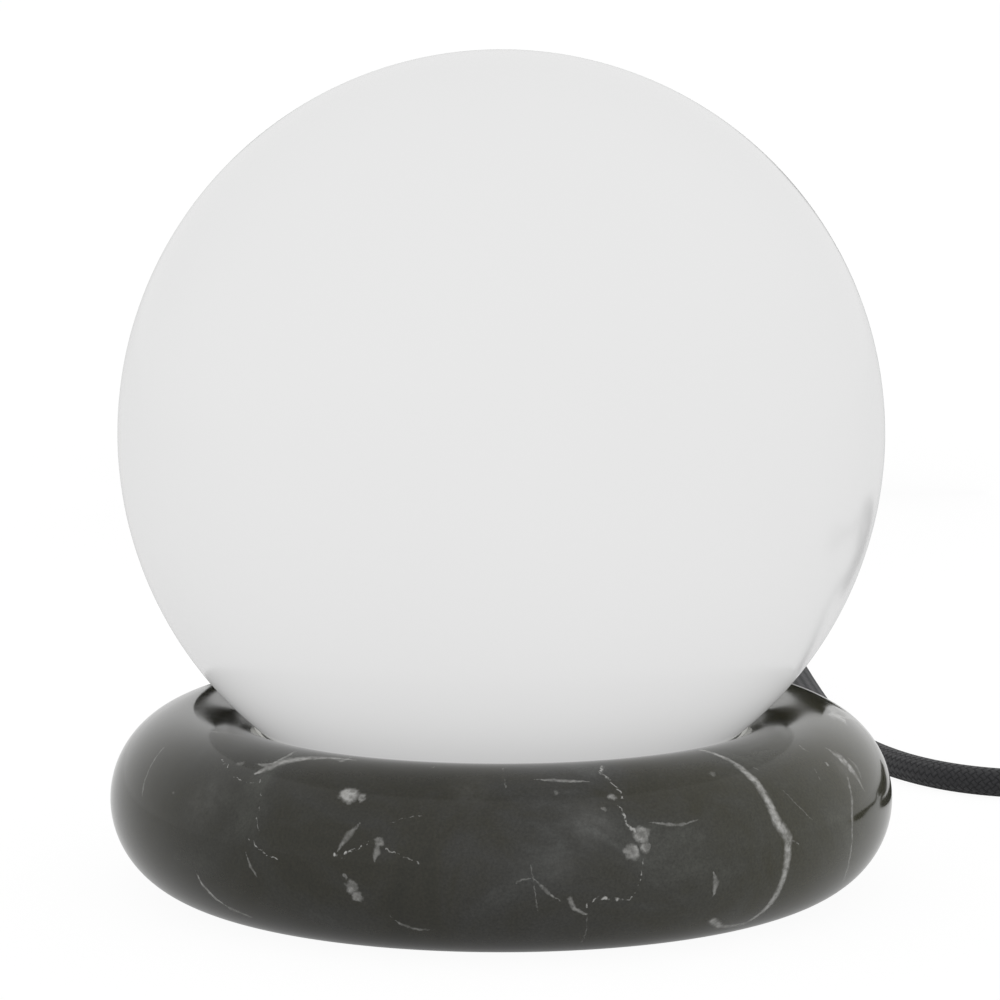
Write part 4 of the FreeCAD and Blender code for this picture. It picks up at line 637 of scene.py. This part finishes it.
def polished_marble():
    """Dark marble ground and polished to a mirror: clouded body, grey in front and more olive at its
    sides, white calcite veins and fine cracks."""
    made, tree, shader, place = new_material("polished_black_marble")
    cloud = add(tree, "ShaderNodeTexNoise",
                {"Vector": place, "Scale": 1 / CLOUD_SIZE, "Detail": 7.0, "Roughness": 0.62,
                 "Distortion": 0.8})
    body = add(tree, "ShaderNodeValToRGB", {"Fac": cloud}, stops=[
        (0.30, linear("26261f")), (0.45, linear("2d2c24")),
        (0.58, linear("32322f")), (0.72, linear("444543"))])
    grit = add(tree, "ShaderNodeTexNoise",
               {"Vector": place, "Scale": 1 / GRIT_SIZE, "Detail": 3.0, "Roughness": 0.7})
    grit_mask = add(tree, "ShaderNodeMapRange",
                    {"Value": grit, "From Min": 0.3, "From Max": 0.75, "To Min": 0.75, "To Max": 1.3})
    split = add(tree, "ShaderNodeSeparateXYZ", {0: place})
    # Painted reflection: the stone's colour grows paler from left to right, where a bright light would
    # mirror in the polish
    painted_reflection = add(tree, "ShaderNodeMapRange",
                {"Value": split.outputs["X"], "From Min": PAINTED_REFLECTION_FROM, "From Max": PAINTED_REFLECTION_TO,
                 "To Min": 0.68, "To Max": 1.45})
    tone = add(tree, "ShaderNodeMath", {0: grit_mask, 1: painted_reflection}, operation="MULTIPLY")
    aside = add(tree, "ShaderNodeMath", {0: split.outputs["X"]}, operation="ABSOLUTE")
    flank = add(tree, "ShaderNodeMapRange",
                {"Value": aside, "From Min": OLIVE_FROM, "From Max": OLIVE_TO})
    olive = add(tree, "ShaderNodeMix", {FACTOR: flank, FIRST: body, SECOND: linear("ffffe8")},
                data_type="RGBA", blend_type="MULTIPLY")
    speckled = add(tree, "ShaderNodeMix",
                   {FACTOR: 1.0, FIRST: olive.outputs[MIXED], SECOND: tone.outputs[0]},
                   data_type="RGBA", blend_type="MULTIPLY")

    soft = wobbled(tree, place, 6 * MM, 1.6 * MM, 3.0)
    soft = wobbled(tree, soft, 0.9 * MM, 0.8 * MM, 3.0)
    jagged = wobbled(tree, place, 2.2 * MM, 2.6 * MM, 4.0)
    group = vein_stretch()
    kinds = {"vein": soft, "streak": soft, "crack": jagged}
    masks = {"vein": None, "streak": None, "crack": None}
    for kind, strength, start_width, end_width, pixels in VEINS.values():
        points = [on_stone(pixel) for pixel in pixels]
        count = len(points) - 1
        for number in range(count):
            along = points[number + 1] - points[number]
            widths = []
            for share in (number / count, (number + 1) / count):
                width = start_width + (end_width - start_width) * share
                if kind == "streak":
                    width *= STREAK_TIP + (1 - STREAK_TIP) * math.sin(math.pi * share)
                widths.append(width)
            stretch = add(tree, "ShaderNodeGroup", node_tree=group)
            tree.links.new(kinds[kind].outputs[0], stretch.inputs["Position"])
            stretch.inputs["Start"].default_value = points[number]
            stretch.inputs["Along"].default_value = along
            stretch.inputs["Share"].default_value = along / along.length_squared
            stretch.inputs["Width at start"].default_value = widths[0] * PIXEL
            stretch.inputs["Width at end"].default_value = widths[1] * PIXEL
            stretch.inputs["Strength"].default_value = strength
            if masks[kind] is None:
                masks[kind] = stretch
            else:
                masks[kind] = add(tree, "ShaderNodeMath", {0: masks[kind], 1: stretch},
                                  operation="MAXIMUM")
    ragged = wobbled(tree, place, 2.4 * MM, 3.0 * MM, 5.0)
    ragged = wobbled(tree, ragged, 0.6 * MM, 0.7 * MM, 3.0)
    for across, down, radius, strength in BLOTS.values():
        distance = add(tree, "ShaderNodeVectorMath", {0: ragged, 1: on_stone((across, down))},
                       operation="DISTANCE")
        reach = radius * PIXEL
        blot = add(tree, "ShaderNodeMapRange",
                   {"Value": distance.outputs["Value"], "From Min": reach * BLOT_CORE,
                    "From Max": reach * BLOT_RIM, "To Min": strength, "To Max": 0.0},
                   interpolation_type="SMOOTHSTEP")
        masks["streak"] = add(tree, "ShaderNodeMath", {0: masks["streak"], 1: blot}, operation="MAXIMUM")
    for across, down, radius, strength in HAZES.values():
        distance = add(tree, "ShaderNodeVectorMath", {0: soft, 1: on_stone((across, down))},
                       operation="DISTANCE")
        haze = add(tree, "ShaderNodeMapRange",
                   {"Value": distance.outputs["Value"], "From Max": radius * PIXEL,
                    "To Min": strength, "To Max": 0.0}, interpolation_type="SMOOTHSTEP")
        masks["streak"] = add(tree, "ShaderNodeMath", {0: masks["streak"], 1: haze}, operation="MAXIMUM")

    # The back and the inside, which the photograph doesn't show, get veins of the same kinds. They
    # follow the edges of cells, and their widths are shares of the cells' spacing.
    behind = add(tree, "ShaderNodeMapRange",
                 {"Value": split.outputs["Y"], "From Min": BACK_FROM, "From Max": 0.0},
                 interpolation_type="SMOOTHSTEP")
    bent = wobbled(tree, place, 25 * MM, 22 * MM, 4.0)
    cells = add(tree, "ShaderNodeTexVoronoi", {"Vector": bent, "Scale": 1 / BACK_VEIN_SPACING},
                feature="DISTANCE_TO_EDGE")
    line = add(tree, "ShaderNodeMapRange",
               {"Value": cells, "From Min": 0.004, "From Max": 0.016, "To Min": 0.85, "To Max": 0.0},
               interpolation_type="SMOOTHSTEP")
    fade = add(tree, "ShaderNodeTexNoise",
               {"Vector": place, "Scale": 1 / BACK_VEIN_PATCH, "Detail": 2.0})
    kept = add(tree, "ShaderNodeMapRange", {"Value": fade, "From Min": 0.48, "From Max": 0.6})
    broken = add(tree, "ShaderNodeMath", {0: line, 1: kept}, operation="MULTIPLY")
    back_veins = add(tree, "ShaderNodeMath", {0: broken, 1: behind}, operation="MULTIPLY")
    fine_cells = add(tree, "ShaderNodeTexVoronoi", {"Vector": jagged, "Scale": 1 / BACK_CRACK_SPACING},
                     feature="DISTANCE_TO_EDGE")
    fine_line = add(tree, "ShaderNodeMapRange",
                    {"Value": fine_cells, "From Min": 0.003, "From Max": 0.012,
                     "To Min": 0.6, "To Max": 0.0})
    fine_fade = add(tree, "ShaderNodeTexNoise",
                    {"Vector": place, "Scale": 1 / BACK_CRACK_PATCH, "Detail": 3.0})
    fine_kept = add(tree, "ShaderNodeMapRange", {"Value": fine_fade, "From Min": 0.57, "From Max": 0.66})
    fine_broken = add(tree, "ShaderNodeMath", {0: fine_line, 1: fine_kept}, operation="MULTIPLY")
    back_cracks = add(tree, "ShaderNodeMath", {0: fine_broken, 1: behind}, operation="MULTIPLY")

    crumbs = add(tree, "ShaderNodeTexNoise", {"Vector": place, "Scale": 1 / CRUMB_SIZE, "Detail": 2.0})
    crumbled = add(tree, "ShaderNodeMapRange", {"Value": crumbs, "From Min": 0.42, "From Max": 0.56})
    cracks = add(tree, "ShaderNodeMath", {0: masks["crack"], 1: crumbled}, operation="MULTIPLY")
    feather = add(tree, "ShaderNodeTexNoise",
                  {"Vector": place, "Scale": 1 / FEATHER_SIZE, "Detail": 4.0, "Roughness": 0.65})
    worn = add(tree, "ShaderNodeMapRange",
               {"Value": feather, "From Min": 0.36, "From Max": 0.62, "To Min": 0.3})
    marks = add(tree, "ShaderNodeMath", {0: masks["vein"], 1: masks["streak"]}, operation="MAXIMUM")
    white = add(tree, "ShaderNodeMath", {0: marks, 1: worn}, operation="MULTIPLY")
    for more in (cracks, back_veins, back_cracks):
        white = add(tree, "ShaderNodeMath", {0: white, 1: more}, operation="MAXIMUM")
    calcite = add(tree, "ShaderNodeMix",
                  {FACTOR: crumbs, FIRST: linear("8d8c87"), SECOND: linear("c6c6c4")}, data_type="RGBA")
    colour = add(tree, "ShaderNodeMix",
                 {FACTOR: white, FIRST: speckled.outputs[MIXED], SECOND: calcite.outputs[MIXED]},
                 data_type="RGBA")
    tree.links.new(colour.outputs[MIXED], shader.inputs["Base Color"])
    gloss = add(tree, "ShaderNodeMapRange", {"Value": cloud, "To Min": 0.06, "To Max": 0.13})
    tree.links.new(gloss.outputs[0], shader.inputs["Roughness"])
    shader.inputs["IOR"].default_value = 1.5
    shader.inputs["Specular IOR Level"].default_value = 0.32
    return made


ring = marble_ring(polished_marble())


# ---- Opal globe ----
WAVE_SIZE = 71.43 * MM
MILK_IOR = 1.5


def opal_glass():
    """Mouth-blown opal glass, fire-polished: milky white all through, glossy, with a faint waviness.

    Half of its white is painted glow: an emission on the unlit globe that stands in for light carried
    through the milky wall, so that the underside stays nearly as pale as the top. Less of the glow
    leaves at a slant.
    """
    made, tree, shader, place = new_material("blown_opal_glass")
    wave = add(tree, "ShaderNodeTexNoise", {"Vector": place, "Scale": 1 / WAVE_SIZE, "Detail": 1.0})
    milk = add(tree, "ShaderNodeMix", {FACTOR: wave, FIRST: linear("8b8b8b"), SECOND: linear("909090")},
               data_type="RGBA")
    tree.links.new(milk.outputs[MIXED], shader.inputs["Base Color"])
    bump = add(tree, "ShaderNodeBump", {"Strength": 0.1, "Distance": 0.4 * MM, "Height": wave})
    tree.links.new(bump.outputs[0], shader.inputs["Normal"])
    shader.inputs["Roughness"].default_value = 0.18
    shader.inputs["IOR"].default_value = MILK_IOR
    shader.inputs["Specular IOR Level"].default_value = 0.1
    # Painted glow: white emission on a globe that is not lit, fading at a slant
    shader.inputs["Emission Color"].default_value = (1, 1, 1, 1)
    slant = add(tree, "ShaderNodeFresnel", {"IOR": MILK_IOR})
    painted_glow = add(tree, "ShaderNodeMapRange",
               {"Value": slant, "From Min": 0.04, "To Min": 0.545, "To Max": 0.0})
    tree.links.new(painted_glow.outputs[0], shader.inputs["Emission Strength"])
    return made


GLOBE_SEGMENTS = 192
GLOBE_BANDS = 96
RIM_STEPS = 8


def globe_profile():
    """Outside from the top to the mouth, round the rim, and up the inside, as (radius, height)."""
    mouth = math.asin(GLOBE_MOUTH_RADIUS / GLOBE_RADIUS)
    inner = GLOBE_RADIUS - GLOBE_WALL
    profile = []
    for step in range(GLOBE_BANDS + 1):
        angle = math.pi + (mouth - math.pi) * step / GLOBE_BANDS
        profile.append((GLOBE_RADIUS * math.sin(angle), -GLOBE_RADIUS * math.cos(angle)))
    middle = GLOBE_RADIUS - GLOBE_WALL / 2
    for step in range(1, RIM_STEPS):
        turn = math.pi * step / RIM_STEPS
        radius = middle + GLOBE_WALL / 2 * math.cos(turn)
        angle = mouth - GLOBE_WALL / 2 * math.sin(turn) / middle
        profile.append((radius * math.sin(angle), -radius * math.cos(angle)))
    for step in range(GLOBE_BANDS + 1):
        angle = mouth + (math.pi - mouth) * step / GLOBE_BANDS
        profile.append((inner * math.sin(angle), -inner * math.cos(angle)))
    return profile


def lathe(name, profile, centre, segments, material):
    """Closed shell turned round the vertical axis, starting and ending on that axis."""
    build = bmesh.new()
    first = build.verts.new(centre + Vector((0, 0, profile[0][1])))
    last = build.verts.new(centre + Vector((0, 0, profile[-1][1])))
    rings = []
    for radius, height in profile[1:-1]:
        ring = []
        for step in range(segments):
            angle = 2 * math.pi * step / segments
            place = Vector((radius * math.cos(angle), radius * math.sin(angle), height))
            ring.append(build.verts.new(centre + place))
        rings.append(ring)
    for step in range(segments):
        after = (step + 1) % segments
        build.faces.new((first, rings[0][step], rings[0][after]))
        build.faces.new((last, rings[-1][after], rings[-1][step]))
        for upper, lower in zip(rings, rings[1:]):
            build.faces.new((upper[step], lower[step], lower[after], upper[after]))
    for face in build.faces:
        face.smooth = True
    bmesh.ops.recalc_face_normals(build, faces=build.faces)
    mesh = bpy.data.meshes.new(name)
    build.to_mesh(mesh)
    build.free()
    mesh.materials.append(material)
    return new_object(name, mesh)


globe = lathe("opal_globe", globe_profile(), GLOBE_CENTRE, GLOBE_SEGMENTS, opal_glass())


# ---- Finishes of the pieces that show their solids' meshes ----
def finish(name, pieces, dark, light, grain, rough, **more):
    """Give pieces one surface."""
    material = surface(name, dark, light, grain, rough, **more)
    for piece in pieces:
        for slot in nodes[piece].material_slots:
            slot.material = material


# Cast silicone: milky and satin, with a faint skin texture
finish("cast_silicone", ["seat_ring"], "c6c6c1", "d2d2cd", 0.6 * MM, (0.35, 0.5), relief=0.02 * MM)
# Felt-like foam pad: dark, matt and open-celled
finish("cell_foam", ["foot_pad"], "1c1c1b", "2b2b29", 0.5 * MM, (0.85, 0.98), relief=0.15 * MM)
# Zinc-plated steel: pale grey metal with a soft mottled spangle
finish("zinc_plated_steel",
       ["base_plate", "plate_screws", "holder_bridge", "bridge_screws", "nipple_washer", "nipple_nut",
        "clamp_screws", "switch_pivot", "switch_cover_screws"],
       "a3a5a6", "c3c5c6", 2.5 * MM, (0.28, 0.42), metallic=1.0, relief=0.01 * MM)
# Turned brass: yellow metal with fine rings from the lathe
finish("turned_brass",
       ["plate_inserts", "threaded_nipple", "thread_shell", "centre_contact", "holder_terminals",
        "terminal_screws", "rocker_blade", "switch_contacts", "switch_terminal_screws"],
       "b08d3c", "cfae5c", 0.3 * MM, (0.2, 0.34), metallic=1.0, relief=0.01 * MM,
       stretch=(0.05, 0.05, 1))
# Moulded nylon: black, satin, with a spark-eroded grain
finish("moulded_nylon", ["clamp_block", "clamp_bar", "switch_base", "switch_cover"],
       "161617", "202021", 0.35 * MM, (0.4, 0.55), relief=0.03 * MM)
# Moulded soft rubber: black, matt, slightly dusty
finish("moulded_rubber", ["cord_relief", "plug_body", "pin_sleeves", "coil_tie"],
       "1a1a1a", "272727", 0.4 * MM, (0.6, 0.75), relief=0.03 * MM)
# Extruded PVC on the cores: even, satin
finish("extruded_pvc", ["wire_cores"], "5b4a3c", "66543f", 1.0 * MM, (0.4, 0.5))
# Moulded thermoset of the lampholder and rocker: black and smooth, with a light shine
finish("moulded_thermoset", ["holder_cap", "holder_sleeve", "switch_rocker"],
       "121213", "1b1b1c", 0.8 * MM, (0.25, 0.36), relief=0.01 * MM)
# Pressed steatite: off-white ceramic, matt, a little grainy
finish("pressed_steatite", ["holder_core"], "d8d2c2", "e6e1d3", 0.4 * MM, (0.55, 0.7), relief=0.04 * MM)
# Nickel-plated brass: bright, slightly warm metal
finish("nickel_plated_brass", ["bulb_cap", "cap_contact", "plug_pins"],
       "b9b3a8", "d0cbc1", 0.4 * MM, (0.15, 0.28), metallic=1.0, relief=0.008 * MM, stretch=(1, 1, 0.1))
# Pressed black glass between the cap and its tip: smooth, with sharp highlights
finish("pressed_black_glass", ["cap_insulator"], "0d0c10", "17161b", 1.5 * MM, (0.05, 0.12))
# Moulded polycarbonate body of the bulb: white, satin
finish("moulded_polycarbonate", ["bulb_housing"],
       "dedede", "e8e8e8", 0.5 * MM, (0.3, 0.42), relief=0.015 * MM)
# Frosted polycarbonate diffuser of the bulb: milky and matt
finish("frosted_polycarbonate", ["bulb_envelope"],
       "e4e4e1", "efefed", 0.5 * MM, (0.45, 0.6), relief=0.01 * MM)
# Lacquered aluminium board: white solder mask over metal
finish("lacquered_aluminium", ["led_board"], "d6d8d8", "e3e5e5", 1.2 * MM, (0.3, 0.4))
# Silicone with phosphor over the chips: egg-yolk yellow
finish("phosphor_silicone", ["led_chips"], "d9b43a", "e8c755", 0.3 * MM, (0.35, 0.5))
# Glass-fibre laminate with green solder mask
finish("glass_fibre_laminate", ["driver_board"],
       "1d4a2c", "2a6340", 0.5 * MM, (0.35, 0.5), relief=0.02 * MM)
# Shrink sleeve on the driver's parts: black and smooth
finish("shrink_sleeve", ["driver_parts"], "18181a", "28282b", 0.8 * MM, (0.3, 0.4))
# The braid on the cord's ends inside the lamp and the switch: dark, matt and coarse
finish("braid_inside", ["cord_inner", "switch_wires"],
       "1b1b1d", "39393c", 0.7 * MM, (0.8, 0.95), relief=0.1 * MM)


# ---- Moulded pieces with rounded edges ----
SAME_POINT = 0.002 * MM         # corners of the solids' triangles that are nearer than this are one
PLUG_GRID = 0.6 * MM
PLUG_PASSES = 45
SWITCH_GRID = 0.5 * MM
SWITCH_PASSES = 12


def moulded(name, node, grid_step, passes):
    """Copy of a solid's mesh on an even grid, with edges rounded as a mould leaves them."""
    build = bmesh.new()
    build.from_mesh(nodes[node].data)
    bmesh.ops.remove_doubles(build, verts=build.verts, dist=SAME_POINT)
    closed = bpy.data.meshes.new(name)
    build.to_mesh(closed)
    build.free()
    made = new_object(name, closed)
    grid = made.modifiers.new("grid", "REMESH")
    grid.mode = "VOXEL"
    grid.voxel_size = grid_step
    grid.use_smooth_shade = True
    smoothing = made.modifiers.new("smoothing", "SMOOTH")
    smoothing.factor = 0.5
    smoothing.iterations = passes
    apply_modifiers(made)
    made.data.materials.clear()
    made.data.materials.append(nodes[node].material_slots[0].material)
    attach(made, "lamp_base")
    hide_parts(node)
    return made


plug_moulding = moulded("plug_moulding", "plug_body", PLUG_GRID, PLUG_PASSES)
switch_shell_low, switch_shell_top = (
    moulded(name, node, SWITCH_GRID, SWITCH_PASSES)
    for name, node in (("switch_shell_low", "switch_base"), ("switch_shell_top", "switch_cover")))

# ---- Floor and light ----
PAPER_GRAIN = 2.5 * MM
FLOOR_SEEN_WHITE = 0.93         # share of plain white in the floor, as the camera and glass see it
FLOOR_MIRRORED_WHITE = 0.35     # and as gloss sees it
FLOOR_HALF = 6.0


def white_floor():
    """Pale floor. The camera and glass see it nearly white, with a trace of the lamp's shadow. Gloss
    sees more of the shadow, so that the stone's underside stays dark, as in the photograph."""
    made, tree, shader, place = new_material("white_floor")
    paper = add(tree, "ShaderNodeTexNoise", {"Vector": place, "Scale": 1 / PAPER_GRAIN, "Detail": 2.0})
    tint = add(tree, "ShaderNodeMix", {FACTOR: paper, FIRST: linear("ececec"), SECOND: linear("efefef")},
               data_type="RGBA")
    tree.links.new(tint.outputs[MIXED], shader.inputs["Base Color"])
    shader.inputs["Roughness"].default_value = 0.9
    shader.inputs["Specular IOR Level"].default_value = 0.0
    rays = add(tree, "ShaderNodeLightPath").outputs
    seen = add(tree, "ShaderNodeMath", {0: rays["Is Camera Ray"], 1: rays["Is Transmission Ray"]},
               operation="MAXIMUM")
    plain = add(tree, "ShaderNodeMath", {0: seen, 1: FLOOR_SEEN_WHITE}, operation="MULTIPLY")
    mirrored = add(tree, "ShaderNodeMath", {0: rays["Is Glossy Ray"], 1: FLOOR_MIRRORED_WHITE},
                   operation="MULTIPLY")
    share = add(tree, "ShaderNodeMath", {0: plain, 1: mirrored}, operation="MAXIMUM")
    white = add(tree, "ShaderNodeEmission", {"Color": (1, 1, 1, 1), "Strength": 1.02})
    mixed = add(tree, "ShaderNodeMixShader", {0: share, 1: shader.outputs[0], 2: white})
    tree.links.new(mixed.outputs[0], tree.nodes["Material Output"].inputs["Surface"])
    return made


def flat_sheet(name, corners, material):
    """Rectangle of the studio."""
    mesh = bpy.data.meshes.new(name)
    mesh.from_pydata(corners, [], [(0, 1, 2, 3)])
    mesh.materials.append(material)
    return new_object(name, mesh)


floor = flat_sheet(
    "floor", [(-FLOOR_HALF, -FLOOR_HALF, 0), (FLOOR_HALF, -FLOOR_HALF, 0),
              (FLOOR_HALF, FLOOR_HALF, 0), (-FLOOR_HALF, FLOOR_HALF, 0)], white_floor())

# Low black flag behind the lamp, which the polished stone mirrors beside the glass. The camera doesn't
# see it.
FLAG_LEFT = -120 * MM
FLAG_RIGHT = 165 * MM
FLAG_BACK = 600 * MM
FLAG_TOP = 165 * MM
FLAG_THREAD = 1.1111 * MM


def black_flag():
    """Black studio cloth on a frame: matt, with almost no light back."""
    made, tree, shader, place = new_material("black_flag_cloth")
    thread = add(tree, "ShaderNodeTexNoise", {"Vector": place, "Scale": 1 / FLAG_THREAD})
    tint = add(tree, "ShaderNodeMix",
               {FACTOR: thread, FIRST: linear("101010"), SECOND: linear("181818")}, data_type="RGBA")
    tree.links.new(tint.outputs[MIXED], shader.inputs["Base Color"])
    shader.inputs["Roughness"].default_value = 0.95
    shader.inputs["Specular IOR Level"].default_value = 0.0
    return made


flag = flat_sheet(
    "flag", [(FLAG_LEFT, FLAG_BACK, 0), (FLAG_RIGHT, FLAG_BACK, 0),
             (FLAG_RIGHT, FLAG_BACK, FLAG_TOP), (FLAG_LEFT, FLAG_BACK, FLAG_TOP)], black_flag())
flag.visible_camera = False

world = bpy.data.worlds.new("studio")
bpy.context.scene.world = world
world.use_nodes = True
backdrop = world.node_tree.nodes["Background"]
backdrop.inputs["Color"].default_value = (1, 1, 1, 1)
backdrop.inputs["Strength"].default_value = 1.0

view = bpy.context.scene.view_settings
view.view_transform = "Standard"

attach(globe, "globe")
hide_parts("glass_globe")

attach(ring, "lamp_base")
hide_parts("marble_ring")

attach(lead_cord, "lamp_base")
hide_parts("cord_lead")

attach(far_cord, "lamp_base")
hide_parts("cord_link", "cord_coil", "cord_tail")
